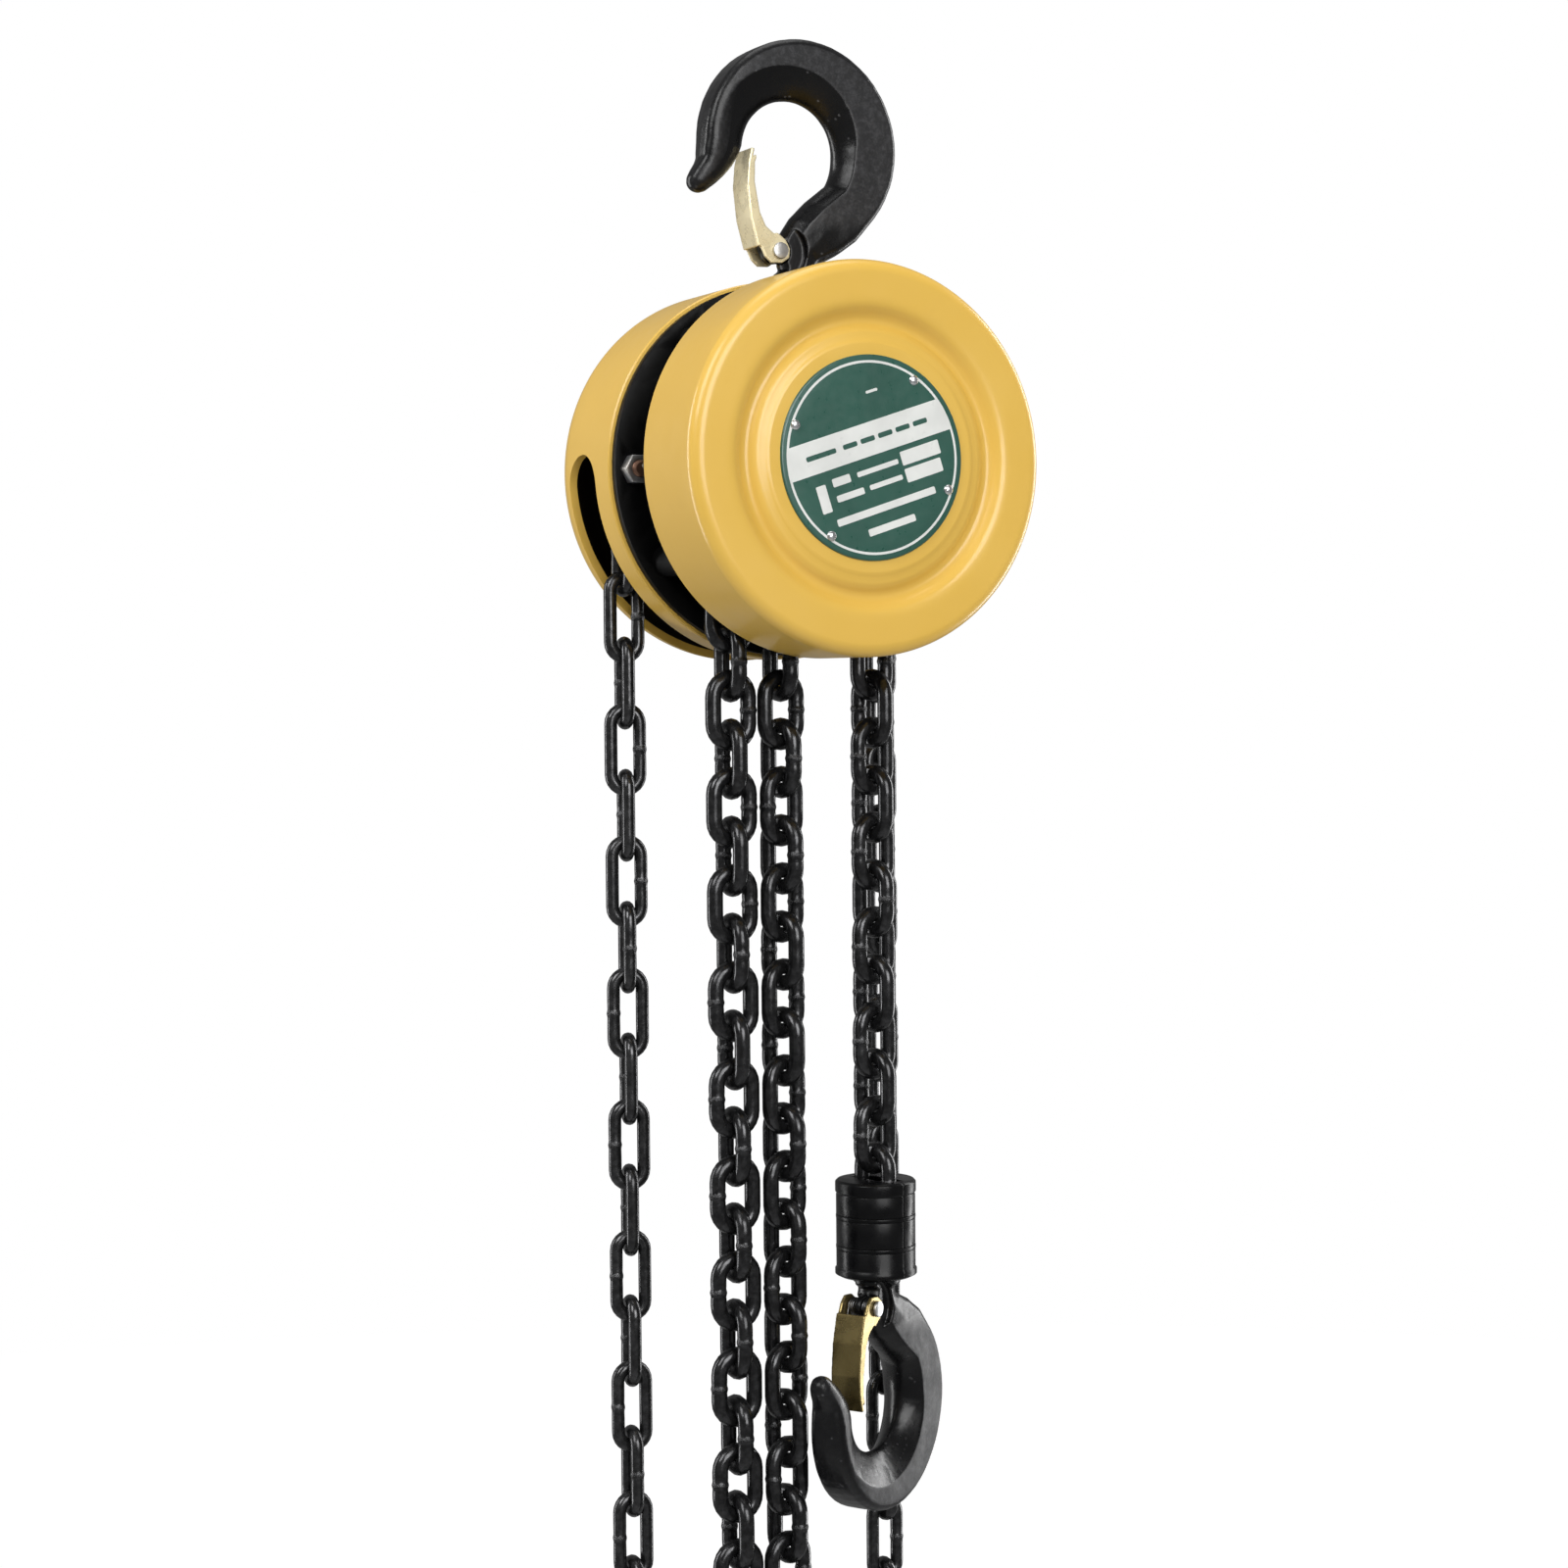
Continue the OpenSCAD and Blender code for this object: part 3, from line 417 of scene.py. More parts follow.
def soft_edges(node, width, look=None):
    """The CAD shape with its flat faces made whole and every sharp edge broken by a small bevel."""
    bevel = {"width": width * MM, "segments": 2, "limit_method": "ANGLE",
             "angle_limit": math.radians(40), "use_clamp_overlap": True}
    add(node + "_edged", evaluated(cad_mesh(node, 0.6), ("BEVEL", bevel)), node, look, stands_for=[node])


def remeshed(mesh, voxel, rounds=0):
    """The mesh made anew from voxels of this size in mm, then smoothed for a number of rounds."""
    steps = [("REMESH", {"mode": "VOXEL", "voxel_size": voxel * MM})]
    if rounds:
        steps.append(("SMOOTH", {"factor": 0.5, "iterations": rounds}))
    return evaluated(mesh, *steps)


def surface(mesh):
    """Where the verts of a mesh lie and which way they face, as two n x 3 arrays."""
    co, no = np.empty(len(mesh.vertices) * 3), np.empty(len(mesh.vertices) * 3)
    mesh.vertices.foreach_get("co", co)
    mesh.vertex_normals.foreach_get("vector", no)
    return co.reshape(-1, 3), no.reshape(-1, 3)


def lumps(co, per_metre):
    return np.array([noise.noise(Vector(c) * per_metre) for c in co])


def worked(mesh, voxel, rounds, wave, height):
    """A shape as it comes from the die or the mould: edges softened, faces very slightly uneven."""
    me = remeshed(mesh, voxel, rounds)
    co, no = surface(me)
    lift = lumps(co, 1 / (wave * MM)) * height * MM
    me.vertices.foreach_set("co", (co + no * lift[:, None]).ravel())
    me.update()
    return me


def smooth(o):
    o.data.polygons.foreach_set("use_smooth", [True] * len(o.data.polygons))


def set_attribute(mesh, name, values):
    a = mesh.attributes.new(name, "FLOAT", "POINT")
    a.data.foreach_set("value", np.asarray(values, np.float32))


# ---- covers ---------------------------------------------------------------------------------
RIM = 15.5                             # where a cover's wall meets its side plate, mm
FACE = -RIM - 41.0                     # the front of the gear cover
BACK = RIM + 55.0                      # the back of the wheel cover
STUD_R = 62
STUDS = [polar((0, 0), STUD_R, a) for a in (181, 359, 66, 114)]
HOLE_R, EAR_R = 3.05, 8.4              # an ear and the hole that its stud goes through
EAR_OUT = 0.985                        # how far out an ear's middle lies, as a share of its stud's way
SLOT_R, SLOT_Z = 12, -6                # radius and middle of the round end of the wheel cover's slot


def ears(y0, y1):
    profile = [(HOLE_R, y0), (EAR_R, y0), (EAR_R, y1), (HOLE_R, y1)]
    return [lathe(profile, 40, x * EAR_OUT, z * EAR_OUT) for x, z in STUDS]


def shade_painted_inside(piece, side, end_y):
    """The inside of a cover is painted near-black, painted shade for the dark within the cover: the wall's
    inner face, and beyond end_y mm the back of the end face. Side is the way that the cover's end faces
    along Y."""
    bore, ears_end = 68.6, 18.5        # the wall's inner radius, and how far along Y the ears reach
    piece.data.materials.append(INSIDE_SHADE)
    for p in piece.data.polygons:
        c, n = (p.center - AX) / MM, p.normal
        r = math.hypot(c.x, c.z)
        wall = 60 < r < bore and (n.x * c.x + n.z * c.z) / r < -0.6 and abs(c.y) > ears_end
        end = r < bore and n.y * side < -0.05 and abs(c.y) > end_y
        if wall or end:
            p.material_index = 1


def gear_cover():
    """The front pressing with its ring groove, open at the side plate."""
    groove = [(66, 0), (60, 0), (56.5, 0.1), (54.4, 0.6), (52.8, 1.7), (51.3, 3.0), (49.6, 3.85),
              (47.9, 3.6), (46.4, 2.5), (45.0, 1.75), (43.6, 1.45), (42.4, 1.15), (41.2, 0.72),
              (39.5, 0.6), (30, 0.6), (0, 0.6)]
    face = [(r, FACE + d) for r, d in spline(groove, 5)]
    inner = [(0, FACE + 3.6), (40, FACE + 3.6), (44.5, FACE + 4.8), (47, FACE + 6.9),
             (50.8, FACE + 6.9), (53.4, FACE + 4), (55, FACE + 3)] + arc(66, FACE + 5, 2, -90, 0, 5)
    outer = [(68.6, -RIM), (70.5, -RIM), (71, -RIM - 0.5), (71, -30), (71, -44)]
    outer += arc(66, FACE + 5, 5, 0, -90, 14)
    shell = lathe(outer + face[1:] + inner, 240)
    me = outward(mesh_of(*joined([shell] + ears(-18.4, -15.6))))
    piece = add("gear_cover_pressing", me, "gear_cover", angle=32, stands_for=["gear_cover"])
    shade_painted_inside(piece, -1, 45)


def wheel_cover():
    """The rear pressing with a dished end and the slot that the hand chain runs through."""
    inner = [(0, BACK - 5), (32, BACK - 5), (35, BACK - 3)] + arc(53, BACK - 18, 15, 90, 0, 18)
    outer = [(68.5, RIM), (70.5, RIM), (71, RIM + 0.5), (71, 24), (71, 40)]
    outer += arc(53, BACK - 18, 18, 0, 90, 22)
    dish = spline([(38, BACK), (35, BACK - 0.1), (33.5, BACK - 0.7), (32, BACK - 1.7),
                   (30, BACK - 2), (20, BACK - 2), (0, BACK - 2)], 4)
    shell = outward(mesh_of(*lathe(outer + dish + inner + [(68, 40)], 240)))
    y0, y1 = HAND_Y - SLOT_R, HAND_Y + SLOT_R
    slot = [(y1, -90)] + arc(HAND_Y, SLOT_Z, SLOT_R, 0, 180, 30) + [(y0, -90)]
    verts = [at(x, y, z) for x in (-90, 90) for y, z in slot]
    me = cut(shell, outward(mesh_of(verts, prism(len(slot)))))
    bm = bmesh.new()
    bm.from_mesh(me)
    lip = [e for e in bm.edges if len(e.link_faces) == 2 and e.calc_face_angle() > math.radians(50)
           and all(v.co.z < AX.z + 0.0065 and y0 - 1 < v.co.y / MM < y1 + 1 for v in e.verts)]
    bmesh.ops.bevel(bm, geom=lip, offset=0.45 * MM, segments=2, affect="EDGES", clamp_overlap=True)
    bm.to_mesh(me)
    bm.free()
    both = bmesh.new()
    both.from_mesh(me)
    both.from_mesh(outward(mesh_of(*joined(ears(15.6, 18.4)))))
    both.to_mesh(me)
    both.free()
    piece = add("wheel_cover_pressing", me, "wheel_cover", angle=32, stands_for=["wheel_cover"])
    shade_painted_inside(piece, 1, 52.2)


gear_cover()
wheel_cover()


# ---- nameplate ------------------------------------------------------------------------------
PLATE_TILT = math.radians(18)


def plate_piece(name, outline, y, thick, look):
    """A thin printed shape on the plate: its outline in the plate's own tilted axes, in mm."""
    c, s = math.cos(PLATE_TILT), math.sin(PLATE_TILT)
    pts = [(u * c - v * s, u * s + v * c) for u, v in outline]
    verts = [at(x, yy, z) for yy in (y, y + thick) for x, z in pts]
    add(name, outward(mesh_of(verts, prism(len(pts)))), "nameplate", look, angle=30)


def bar(u0, u1, v0, v1, r=0.5):
    """A bar's outline with round corners."""
    pts = []
    corners = [(u1 - r, v1 - r, 0), (u0 + r, v1 - r, 90), (u0 + r, v0 + r, 180), (u1 - r, v0 + r, 270)]
    for cx, cy, a in corners:
        pts += arc(cx, cy, r, a, a + 90, 4)
    return pts


def nameplate():
    """A green disc with a white ring, a band with green bars and white bars where print would be."""
    y = FACE - 0.4
    edge = [(0, y), (30, y), (36.0, y), (36.45, y + 0.1), (36.7, y + 0.4), (36.7, y + 1.0), (0, y + 1.0)]
    disc = outward(mesh_of(*lathe(edge, 160)))
    add("plate_disc", disc, "nameplate", angle=40, stands_for=["nameplate"])
    lo, hi, r = 0.8, 12.6, 33.7
    ring = [(r, y - 0.05), (34.6, y - 0.05), (34.6, y + 0.02), (r, y + 0.02)]
    add("plate_ring", outward(mesh_of(*lathe(ring, 160))), "nameplate", WHITE, angle=30)
    a0, a1 = math.degrees(math.asin(lo / r)), math.degrees(math.asin(hi / r))
    band = arc(0, 0, r, a0, a1, 8) + arc(0, 0, r, 180 - a1, 180 - a0, 8)
    plate_piece("plate_band", band, y - 0.05, 0.06, WHITE)
    green = LOOK["green_plate"]
    on_band = [(-26, -13.5), (-10.5, -4.5), (-3, 3), (4.5, 10.5), (12, 18), (19.5, 25.5)]
    for k, (u0, u1) in enumerate(on_band):
        plate_piece(f"plate_band_bar_{k}", bar(u0, u1, 5.8, 7.6, 0.6), y - 0.09, 0.05, green)
    white = [(-25.5, -21.5, -13.5, -3.5), (-18.5, -11, -5.6, -2.6), (-18.5, -7, -11.2, -8.8),
             (-8, 9.5, -5.0, -3.2), (-4.5, 9.5, -10.8, -9.0), (11, 27.5, -6.3, -1.2),
             (11, 26.5, -12.6, -7.6), (-21, 21, -19.4, -16.8), (-10, 10, -26.4, -23.8),
             (4.5, 9.5, 22.2, 23.2)]
    for k, (u0, u1, v0, v1) in enumerate(white):
        plate_piece(f"plate_bar_{k}", bar(u0, u1, v0, v1), y - 0.05, 0.06, WHITE)
    dome = [(0, FACE + 3.4), (0.95, FACE + 3.4), (0.95, FACE - 0.4), (1.75, FACE - 0.4),
            (1.9, FACE - 0.55), (1.82, FACE - 0.85), (1.5, FACE - 1.2), (1.0, FACE - 1.45),
            (0.5, FACE - 1.57), (0, FACE - 1.6)]
    heads = [lathe(dome, 28, *polar((0, 0), 32.8, a)) for a in (59, 161, 239, 341)]
    add("plate_rivets", outward(mesh_of(*joined(heads))), "nameplate_rivets", angle=40,
        stands_for=["nameplate_rivets"])


nameplate()


# ---- chains ---------------------------------------------------------------------------------
PLAY = 0.15                            # mm, between one link and the next and at the pin below


# A run of chain is a list of corners, the points where one link's middle line hands over to the next's.
# p, d and w are a chain's pitch, its wire's diameter and a link's width, in mm.
def half(side, r):
    """Half of the angle in degrees that a side takes up on a circle of radius r."""
    return math.degrees(math.asin(side / 2 / r))


def wheel_r(p, d, n):
    """The radius that the corners lie on, round a wheel with n pockets."""
    t = math.radians(90 / n)
    return math.sqrt((p / math.sin(t)) ** 2 + (d / math.cos(t)) ** 2) / 2


def column(x, z, n, flat, p, d, up=-1):
    """Corners of n links that hang from (x, z), or stand on it with up = 1."""
    odd = d if flat else -d
    return [(x, z + up * (i * p + (odd if i % 2 else 0))) for i in range(n + 1)]


def around(c, r, a, n, flat, p, d):
    """Corners of n links round the middle c, from the angle a in degrees."""
    f, v = half(p + d, r), half(p - d, r)
    odd = f - v if flat else v - f
    return [polar(c, r, a + i * (f + v) + (odd if i % 2 else 0)) for i in range(n + 1)]


def link_shape(p, d, w, section=14):
    """One link along Z: verts in mm, faces, how rubbed each vert is and how near it is to the weld."""
    r, s = (w - d) / 2, (p + d) / 2 + PLAY - (w - d) / 2
    path = []
    heights = np.concatenate([np.linspace(-s, -1.6, 4), np.linspace(-1.2, 1.2, 7), np.linspace(1.6, s, 4)])
    for sign in (1, -1):
        for z in heights:
            path.append((sign * r, sign * z, 0.0 if sign > 0 else math.pi, abs(z) if sign > 0 else 9.0))
        for k in range(1, 12):
            t = math.pi * k / 12
            turn = t + (0 if sign > 0 else math.pi)
            path.append((sign * r * math.cos(t), sign * (s + r * math.sin(t)), turn, 9.0))
    verts, rub, weld = [], [], []
    for x, z, t, near in path:
        swell = 1 + 0.085 * math.exp(-(near / 0.75) ** 2) - 0.03 * math.exp(-((near - 1.5) / 0.35) ** 2)
        crown = max(0.0, (abs(z) - s) / r)
        for k in range(section):
            a = 2 * math.pi * k / section
            out, side = math.cos(a) * d / 2 * swell, math.sin(a) * d / 2 * swell
            verts.append((x + out * math.cos(t), side, z + out * math.sin(t)))
            rub.append(max(0.0, -math.cos(a)) ** 1.5 * crown ** 1.5)
            weld.append(math.exp(-(near / 1.3) ** 2))
    faces = loft(len(path), section, closed=True)
    return np.array(verts), np.array(faces), np.array(rub), np.array(weld)


def chain(pts, flat, y=0.0, turn=0.0, lead=4, first=0, last=None, ends=0):
    """Where each link of a run of corners lies, as 4 x 4 matrices in mm. Turn is the links' twist in
    degrees: it comes in over the first `lead` links and goes out over the last `ends`."""
    n = len(pts) - 1
    out = []
    for i in range(first, n if last is None else last + 1):
        dx, dz = pts[i + 1][0] - pts[i][0], pts[i + 1][1] - pts[i][1]
        s = -1 if dz < 0 else 1
        bend = turn * min(1, i / lead, (n - 1 - i) / ends if ends else 1)
        spot = Matrix.Translation(((pts[i][0] + pts[i + 1][0]) / 2, y, (pts[i][1] + pts[i + 1][1]) / 2))
        spin = (90 if (i % 2 == 0) == flat else 0) + bend
        lean = Matrix.Rotation(math.atan2(s * dx, s * dz), 4, "Y")
        out.append(spot @ lean @ Matrix.Rotation(math.radians(spin), 4, "Z"))
    return out


def chain_piece(name, links, shape):
    """The links as one piece, each turned about at random so that the welds don't all lie on one side."""
    v0, f0, rub, weld = shape
    rng = random.Random(len(links))
    verts, faces = [], []
    for k, m in enumerate(links):
        about = Matrix.Rotation(math.pi * rng.randint(0, 1), 4, "Z")
        over_end = Matrix.Rotation(math.pi * rng.randint(0, 1), 4, "Y")
        m = np.array(m @ about @ over_end)
        verts.append(v0 @ m[:3, :3].T + m[:3, 3])
        faces.append(f0 + k * len(v0))
    co = np.concatenate(verts) * MM + np.array(AX)
    me = mesh_of(co, np.concatenate(faces).tolist())
    set_attribute(me, "rub", np.tile(rub, len(links)))
    set_attribute(me, "weld", np.tile(weld, len(links)))
    smooth(add(name + "_links", outward(me), name, angle=0, stands_for=[name]))


# the load chain: round the sheave, down the fall to the lower block, and the slack side down and up
P, D, W = 18.0, 6.0, 20.4
LONG, SHORT = P + D, P - D             # from corner to corner, over a flat link and over one on edge
FALL_OUT, SLACK_OUT = 1.6, 2.6         # how far the two sides hang out from where they leave the sheave
TAIL_GAP = 20.7                        # between the slack side's two runs


def drop(length, across):
    """How far down a side of this length comes when it also goes this far across."""
    return math.sqrt(length ** 2 - across ** 2)


RL = wheel_r(P, D, 5)
rest_a = 36 - half(LONG, RL) - 2 * half(SHORT, RL)
end_a = rest_a + 4 * half(LONG, RL) + 6 * half(SHORT, RL)
top = polar((0, 0), RL, rest_a)
fall_x = top[0] + FALL_OUT
fall = [top] + column(fall_x, top[1] - drop(LONG, FALL_OUT), 14, False, P, D)
slack_top = polar((0, 0), RL, end_a)
slack_x = slack_top[0] - SLACK_OUT
seat_z = slack_top[1] - LONG
first_out = SLACK_OUT / 3
out_z = seat_z - drop(SHORT, first_out)
guide_z = out_z - drop(LONG, SLACK_OUT - first_out)
slack = [slack_top, (slack_top[0], seat_z), (slack_top[0] - first_out, out_z)]
slack += column(slack_x, guide_z, 23, False, P, D)
slack_end = slack[-1][1]
tail_x = slack_x + TAIL_GAP
turn_x = (TAIL_GAP - SHORT) / 2
turn_z = slack_end - drop(LONG, turn_x)
bottom = [(slack_x, slack_end), (slack_x + turn_x, turn_z), (tail_x - turn_x, turn_z), (tail_x, slack_end)]
rise = column(tail_x, slack_end, 23, False, P, D, 1)

# the hand chain: over the hand wheel, down both sides and round the bottom
HP, HD, HW = 25.0, 5.0, 16.0
RH = wheel_r(HP, HD, 7)
hand_a = 107.5 - 5 * half(HP + HD, RH) - 4 * half(HP - HD, RH)
over = around((0, 0), RH, hand_a, 8, True, HP, HD)
left = column(*over[8], 17, True, HP, HD)
right = column(*over[0], 18, False, HP, HD)


def closing_arc(a, b):
    """Corners of seven links in an arc from a to b, hanging below them: the radius is found by halving."""
    def swing(r):
        return math.radians(6 * half(HP + HD, r) + 8 * half(HP - HD, r))
    span = math.dist(a, b)
    lo, hi = span * 0.45, span * 0.8
    for _ in range(41):
        m = (lo + hi) / 2
        lo, hi = (m, hi) if 2 * m * math.sin(swing(m) / 2) < span else (lo, m)
    k = m * math.cos(swing(m) / 2) / span
    c = ((a[0] + b[0]) / 2 + k * (a[1] - b[1]), (a[1] + b[1]) / 2 + k * (b[0] - a[0]))
    return around(c, m, math.degrees(math.atan2(a[1] - c[1], a[0] - c[0])), 7, False, HP, HD)


load_link, hand_link = link_shape(P, D, W), link_shape(HP, HD, HW)
chain_piece("load_chain_upper", chain(around((0, 0), RL, rest_a, 5, False, P, D), False)
            + chain(fall, True, turn=15, lead=2, last=7), load_link)
chain_piece("load_chain_lower", chain(fall, True, turn=15, lead=2, first=8), load_link)
chain_piece("load_chain_slack", chain(slack, True) + chain(bottom, True)
            + chain(rise, False, turn=18, lead=4, ends=4), load_link)
chain_piece("hand_chain", chain(over, True, HAND_Y) + chain(left, True, HAND_Y, turn=-14, lead=3, ends=6)
            + chain(right, False, HAND_Y, turn=10, lead=3, ends=5)
            + chain(closing_arc(left[-1], right[-1]), False, HAND_Y), hand_link)


# ---- hooks, latches, springs ----------------------------------------------------------------
# in the hook's own frame, its bowl's middle at the origin, in mm
BOWL_R, OUTER_R = 19.0, 39.2
OUTER_X, OUTER_Z = 3.4, 2.2            # the middle of the outer circle
SHANK_X, COLLAR_Z = 4.0, -47.5         # the shank's middle and the collar's seat
LATCH_REST = math.radians(-12)
# the lower block
PIN_R = 3.5                            # the pin that the load chain hangs the block by
TOP_UP, BLOCK_H = 6.55, 37             # its top above that pin, and its height
TWIST = math.radians(31)


def hook_matrix(low):
    """From the hook's own frame to the row frame, where the top hook's seat is the origin."""
    if not low:
        return Matrix.Translation((0, 0, -BOWL_R * MM))
    pin_z = fall[-1][1] + D / 2 + PLAY + PIN_R
    place = Matrix.Translation(at(fall_x, 0, pin_z + TOP_UP - BLOCK_H + COLLAR_Z))
    return (place @ Matrix.Rotation(TWIST, 4, "Z")
            @ Matrix.Rotation(math.pi, 4, "X") @ Matrix.Translation((-AX.x, 0, 0)))


def section(half_width, half_thick, forged, bevel):
    """The hook's section: u outward from the bowl, v across. A forged one has flat sides that break at a
    ridge, the bevel's width from the bowl, and fall to its crown; at forged = 0 it is an ellipse."""
    corner = min(3.4, half_width * 0.4)
    bevel = min(bevel, 2 * half_width - corner - 0.8)
    half = [(-half_width + bevel * (k / 8) ** 1.7, half_thick * k / 8) for k in range(9)]
    half.append(((half_width - corner + half[-1][0]) / 2, half_thick * 0.98))
    half += arc(half_width - corner, half_thick * 0.96 - corner, corner, 90, 10, 5)
    ring = half + [(half_width, 0.0)] + [(u, -v) for u, v in half[:0:-1]]
    out = []
    for u, v in ring:
        a = math.atan2(v / half_thick, u / half_width)
        round_u, round_v = half_width * math.cos(a), half_thick * math.sin(a)
        out.append((round_u + (u - round_u) * forged, round_v + (v - round_v) * forged))
    return out


def hook_sweep():
    """The hook's body as rings of points along its spine, in the hook's own frame, in mm."""
    # x, z, the way the section faces in degrees, half its width, half its thickness, forged, bevel
    stations = [(3.9, -46.5, 0, 7.1, 7.0, 0, 5), (3.8, -43, 0, 7.3, 7.0, 0, 5),
                (3.2, -39.5, -6, 8.6, 7.2, 0.1, 5), (5.2, -35.6, -22, 10.4, 7.6, 0.3, 5),
                (10.2, -30.4, -36, 11.4, 8.2, 0.6, 5), (16.8, -24.6, -38, 11.8, 8.7, 0.9, 5)]
    for deg in range(-34, 177, 6):
        t = math.radians(deg)
        c, d = math.cos(t), math.sin(t)
        along = OUTER_X * c + OUTER_Z * d
        outer = along + math.sqrt(along * along - OUTER_X ** 2 - OUTER_Z ** 2 + OUTER_R ** 2)
        inner = BOWL_R + 0.6 * max(0.0, -d)
        narrow = min(1.0, max(0.0, (deg - 120) / 56))
        bevel = 5 + 10 * min(1.0, max(0.0, deg / 150)) ** 0.8
        stations.append(((inner + outer) / 2 * c, (inner + outer) / 2 * d, deg, (outer - inner) / 2,
                         9.0 - 1.5 * narrow, 1 - 0.3 * narrow, bevel))
    stations += [(-28.3, -1.6, 176, 8.0, 7.1, 0.6, 12), (-29.8, -5.0, 168, 6.9, 6.5, 0.5, 10),
                 (-32.3, -8.2, 156, 5.9, 5.7, 0.35, 8), (-35.2, -11.2, 147, 5.1, 5.0, 0.2, 6),
                 (-37.5, -13.6, 143, 4.3, 4.2, 0.1, 5), (-38.9, -15.2, 142, 3.0, 3.0, 0, 3),
                 (-39.5, -15.9, 142, 1.4, 1.4, 0, 1)]
    verts = []
    for x, z, deg, hw, ht, forged, bevel in stations:
        c, d = math.cos(math.radians(deg)), math.sin(math.radians(deg))
        ring = section(hw, ht, forged, bevel)
        verts += [(x + u * c, v, z + u * d) for u, v in ring]
    return verts, loft(len(stations), len(ring))


def turned_z(profile, n=64):
    """A profile of (radius, z) turned about the shank's middle line."""
    verts = [(*polar((SHANK_X, 0), r, 360 * k / n), z) for r, z in profile for k in range(n)]
    return verts, loft(len(profile), n)


def pin_disc(r, y0, y1, n=48):
    """A round disc about the latch's pin."""
    ring = [polar(HOOK_PIN, r, 360 * k / n) for k in range(n)]
    return [(u, y, w) for y in (y0, y1) for u, w in ring], prism(n)


def hook(node, low):
    """The forging: a swept body with its shank, collar and pin boss, then the pin's seats cut out of it."""
    wall = 10.8 if low else 5.5
    head = COLLAR_Z - wall - 2.6
    blank = outward(mesh_of(*joined([
        hook_sweep(), pin_disc(4.3, -4.6, 4.6),
        turned_z([(8.6, -47.1), (9.3, -46.8), (9.3, -44.8), (8.4, -44.2), (7.4, -43.6)]),
        turned_z([(6.5, head - 0.1), (6.5, -46.8)]), turned_z([(9.1, head - 4.7), (9.1, head - 0.1)])])))
    blank.transform(Matrix.Scale(MM, 4))
    solid = remeshed(blank, 0.45)
    outside = [pin_disc(11, s * 4.75, s * 12) for s in (-1, 1)]
    spring_room = [pin_disc(5.2, s * 1.3, s * 5) for s in (-1, 1)]
    for v, f in outside + [pin_disc(2.05, -12, 12)] + spring_room:
        tool = outward(mesh_of(v, f))
        tool.transform(Matrix.Scale(MM, 4))
        solid = cut(solid, tool)
    me = remeshed(solid, 0.42, 4)
    co, no = surface(me)
    dent = np.abs(lumps(co, 140)) * 0.14 * MM
    me.vertices.foreach_set("co", (co - no * dent[:, None]).ravel())
    r = np.hypot(co[:, 0], co[:, 2]) / MM
    side = np.clip((np.abs(no[:, 1]) - 0.955) / 0.03, 0, 1) * np.clip((r - 22.5) / 1.5, 0, 1)
    spine = np.clip((r - 34) / 4, 0, 1) * 0.25
    neck = np.clip((co[:, 2] / MM + 30) / 6, 0.15, 1)
    set_attribute(me, "flat", np.maximum(side, spine) * neck)
    me.transform(hook_matrix(low))
    smooth(add(node + "_forging", me, node, angle=0, stands_for=[node]))


def wire(points, radius, section=10):
    """A round wire along a list of points in mm."""
    pts = [Vector(p) for p in points]
    verts, side = [], None
    for i, p in enumerate(pts):
        t = (pts[min(i + 1, len(pts) - 1)] - pts[max(i - 1, 0)]).normalized()
        side = t.orthogonal().normalized() if side is None else (side - t * side.dot(t)).normalized()
        up = t.cross(side)
        for k in range(section):
            a = 2 * math.pi * k / section
            verts.append(tuple(p + (side * math.cos(a) + up * math.sin(a)) * radius))
    return verts, loft(len(pts), section)


def helix(r, y0, y1, turns, start, steps=22):
    """Points round the Y axis from y0 to y1."""
    n = int(turns * steps)
    return [(r * math.cos(start + 2 * math.pi * turns * i / n), y0 + (y1 - y0) * i / n,
             r * math.sin(start + 2 * math.pi * turns * i / n)) for i in range(n + 1)]


def pin_matrix(low):
    return hook_matrix(low) @ Matrix.Translation((HOOK_PIN[0] * MM, 0, HOOK_PIN[1] * MM))


def latch_spring(node, low):
    """A spring each side of the hook's blade: its coil stays on the pin and its arm follows the latch."""
    coil_r, wire_r = 3.1, 0.42
    coils, arms = [], []
    for s in (-1, 1):
        coils.append(wire(helix(coil_r, s * 3 - 1.3, s * 3 + 1.3, 3, math.pi), wire_r))
        arms.append(wire([(-coil_r - 0.33 * k, s * 4.3, 1.1 * k) for k in range(11)], wire_r))
    m = pin_matrix(low)
    for name, parts, rider in (("_coils", coils, node), ("_arms", arms, node.replace("_spring", ""))):
        verts, faces = joined(parts)
        me = outward(mesh_of([m @ (Vector(v) * MM) for v in verts], faces))
        piece = add(node + name, me, rider, LOOK["spring_steel"], angle=50,
                    stands_for=[node] if rider == node else ())


def latch(node, look, low):
    """The pressed latch strip: its cheeks are deep only round the pin."""
    spare = [(-0.9, 6.6), (-3.6, 9.8), (-4.9, 15), (-4.6, 26), (-3.0, 33.2), (0.5, 38), (8, 38), (8, 6.6)]
    verts = [(x, y, z) for y in (-9, 9) for x, z in spare]
    tool = outward(mesh_of(verts, prism(len(spare))))
    tool.transform(pin_matrix(low) @ Matrix.Rotation(LATCH_REST, 4, "Y") @ Matrix.Scale(MM, 4))
    strip = worked(cut(cad_mesh(node), tool), 0.26, 4, 12.0, 0.02)
    smooth(add(node + "_strip", strip, node, look, angle=0, stands_for=[node]))


hook("top_hook", False)
hook("lower_hook", True)
latch("top_latch", LATCH_PAINTED_LIGHT, False)
# painted shade: the lower latch takes the darker bronze plating, a shaded copy of the latches' yellow zinc
# plating
latch("lower_latch", LOOK["zinc_bronze"], True)
latch_spring("top_latch_spring", False)
latch_spring("lower_latch_spring", True)


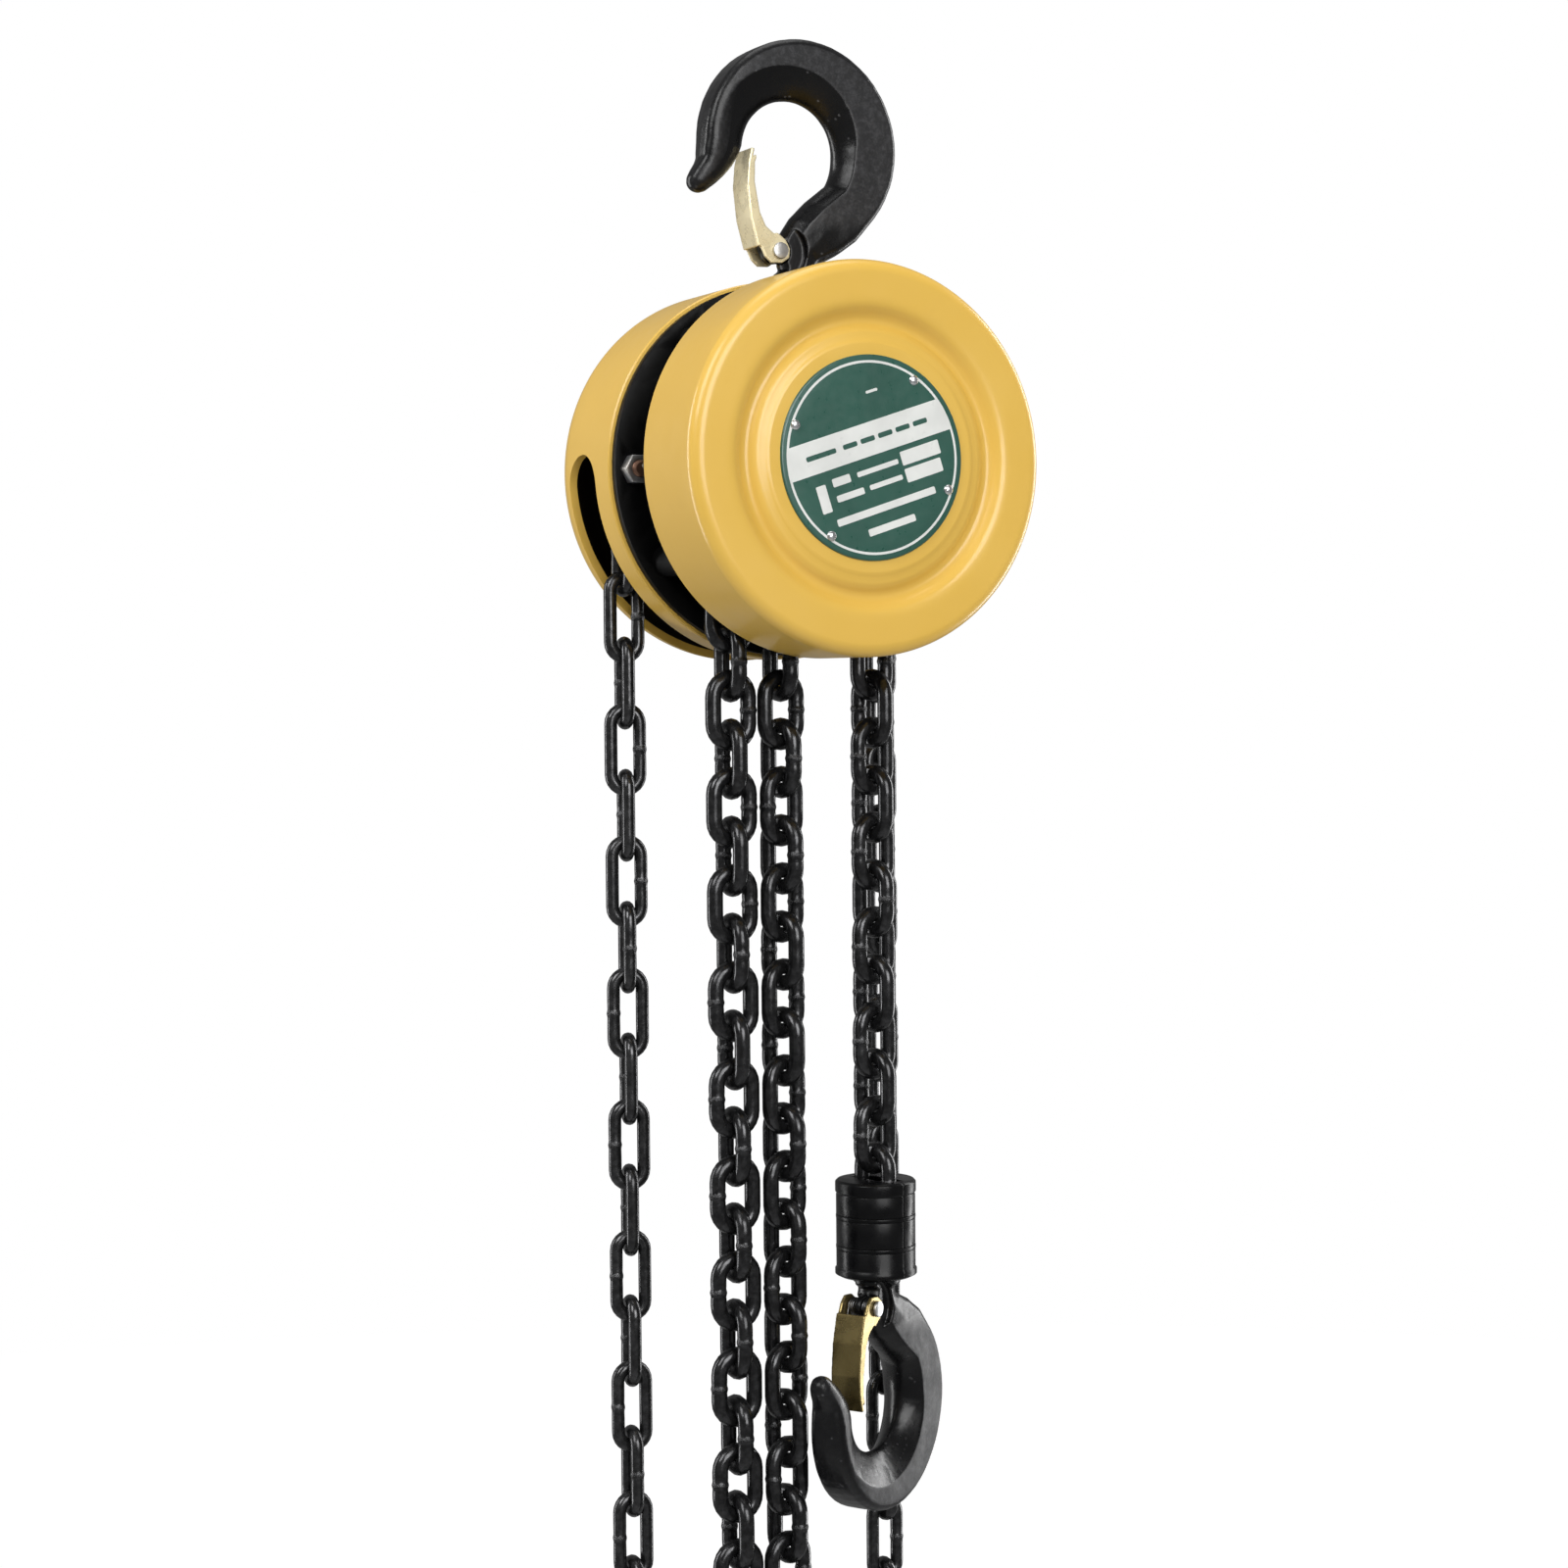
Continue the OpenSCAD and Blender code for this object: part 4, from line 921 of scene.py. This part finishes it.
# ---- castings and bevelled pieces -----------------------------------------------------------
for node in ("hand_wheel", "load_sheave"):
    casting = worked(cad_mesh(node), 0.7, 3, 8.0, 0.12)
    smooth(add(node + "_casting", casting, node, angle=0, stands_for=[node]))
EDGES = {"front_side_plate": 0.4, "rear_side_plate": 0.4, "cover_nuts": 0.35, "stay_nuts": 0.4,
         "castle_nut": 0.4, "top_yoke_left": 0.8, "top_yoke_right": 0.8, "chain_stripper": 0.5,
         "lower_block_left": 0.3, "lower_block_right": 0.3, "top_latch_pin": 0.25,
         "lower_latch_pin": 0.25, "guide_roller_left": 0.5, "guide_roller_right": 0.5}
for node, width in EDGES.items():
    soft_edges(node, width)
soft_edges("block_rings", 0.2, look=LOOK["block_black"])


def threads(y0, y1, r, pitch):
    """A thread as a profile of crests and roots."""
    out, y = [], y0
    step = pitch if y1 > y0 else -pitch
    while abs(y1 - y) >= pitch:
        out += [(r - 0.08, y), (r, y + step * 0.12), (r, y + step * 0.3),
                (r - 0.62 * pitch, y + step * 0.62)]
        y += step
    return out + [(r - 0.4, y1)]


def studs():
    parts = []
    for x, z in STUDS:
        for s in (1, -1):
            p = [(0, s * 5.5), (2.2, s * 5.5)] + threads(s * 5.9, s * 12, 2.98, 1.0)
            p += [(2.98, s * 18.5), (5.0, s * 18.5), (5.4, s * 18.9), (5.4, s * 21.6),
                  (4.9, s * 22.5), (0, s * 22.5)]
            parts.append(lathe(p, 30, x, z))
    add("cover_studs_threaded", outward(mesh_of(*joined(parts))), "cover_studs", angle=25,
        stands_for=["cover_studs"])


studs()


# ---- camera, light, floor -------------------------------------------------------------------
FLOOR_Z = -2.4


def floor():
    """A wide pale disc far below. It glows for the camera and hardly at all for other rays."""
    me = mesh_of(*lathe([(0, 0), (9000, 0)], 96, closed=False))
    me.transform(Matrix.Rotation(math.pi / 2, 4, "X") @ Matrix.Translation(-AX))
    me.transform(Matrix.Translation((0, 0, FLOOR_Z)))
    o = bpy.data.objects.new("floor", me)
    scene.collection.objects.link(o)
    m = Nodes("pale_floor")
    rays = m.tree.nodes.new("ShaderNodeLightPath")
    glow = m.fit(rays.outputs["Is Camera Ray"], 0, 1, 0.12, 0.9)
    m.set(Base_Color=m.mix(m.noise(3, 2), (0.40, 0.40, 0.40), (0.43, 0.43, 0.43)), Roughness=0.8,
          Emission_Color=(1, 1, 1, 1), Emission_Strength=glow)
    me.materials.append(m.mat)


def area(name, place, target, size, power, tall=None):
    light = bpy.data.lights.new(name, "AREA")
    light.shape = "RECTANGLE"
    light.size, light.size_y = size, tall or size
    light.energy = power
    o = bpy.data.objects.new(name, light)
    o.location = place
    o.rotation_euler = (Vector(target) - Vector(place)).to_track_quat("-Z", "Y").to_euler()
    scene.collection.objects.link(o)


def backdrop():
    """White all round where the camera looks past the part, and a soft light from there on the part."""
    world = bpy.data.worlds.new("studio")
    world.use_nodes = True
    tree = world.node_tree
    soft = tree.nodes["Background"]
    seen = tree.nodes.new("ShaderNodeBackground")
    for node, strength in ((soft, 0.22), (seen, 1.0)):
        node.inputs["Color"].default_value = (1, 1, 1, 1)
        node.inputs["Strength"].default_value = strength
    rays = tree.nodes.new("ShaderNodeLightPath")
    pick = tree.nodes.new("ShaderNodeMixShader")
    tree.links.new(rays.outputs["Is Camera Ray"], pick.inputs[0])
    tree.links.new(soft.outputs[0], pick.inputs[1])
    tree.links.new(seen.outputs[0], pick.inputs[2])
    tree.links.new(pick.outputs[0], tree.nodes["World Output"].inputs["Surface"])
    scene.world = world
    scene.view_settings.view_transform = "Standard"


def camera(place, angles, focal):
    lens = bpy.data.cameras.new("camera")
    lens.lens = focal
    lens.sensor_width = 36
    lens.clip_end = 50
    o = bpy.data.objects.new("camera", lens)
    o.location = place
    o.rotation_euler = [math.radians(a) for a in angles]
    scene.collection.objects.link(o)
    scene.camera = o


floor()
area("key", (-1.75, -0.75, 1.15), (0, 0, -0.2), 0.9, 23, tall=1.2)
area("front", (-0.2, -2.3, 0.5), (0, 0, -0.3), 1.4, 42, tall=1.6)
area("right_edge", (1.6, 0.15, -0.15), (0, 0, -0.3), 0.4, 22, tall=2.0)
area("left_edge", (-1.45, 1.15, -0.2), (0, 0, -0.3), 0.35, 18, tall=2.0)
area("overhead", (0.1, 0.1, 1.7), (0, 0, -0.2), 1.2, 10)
backdrop()
camera((-0.5114, -0.9879, -0.2162), (88.096, 0.481, -27.227), 68.33)
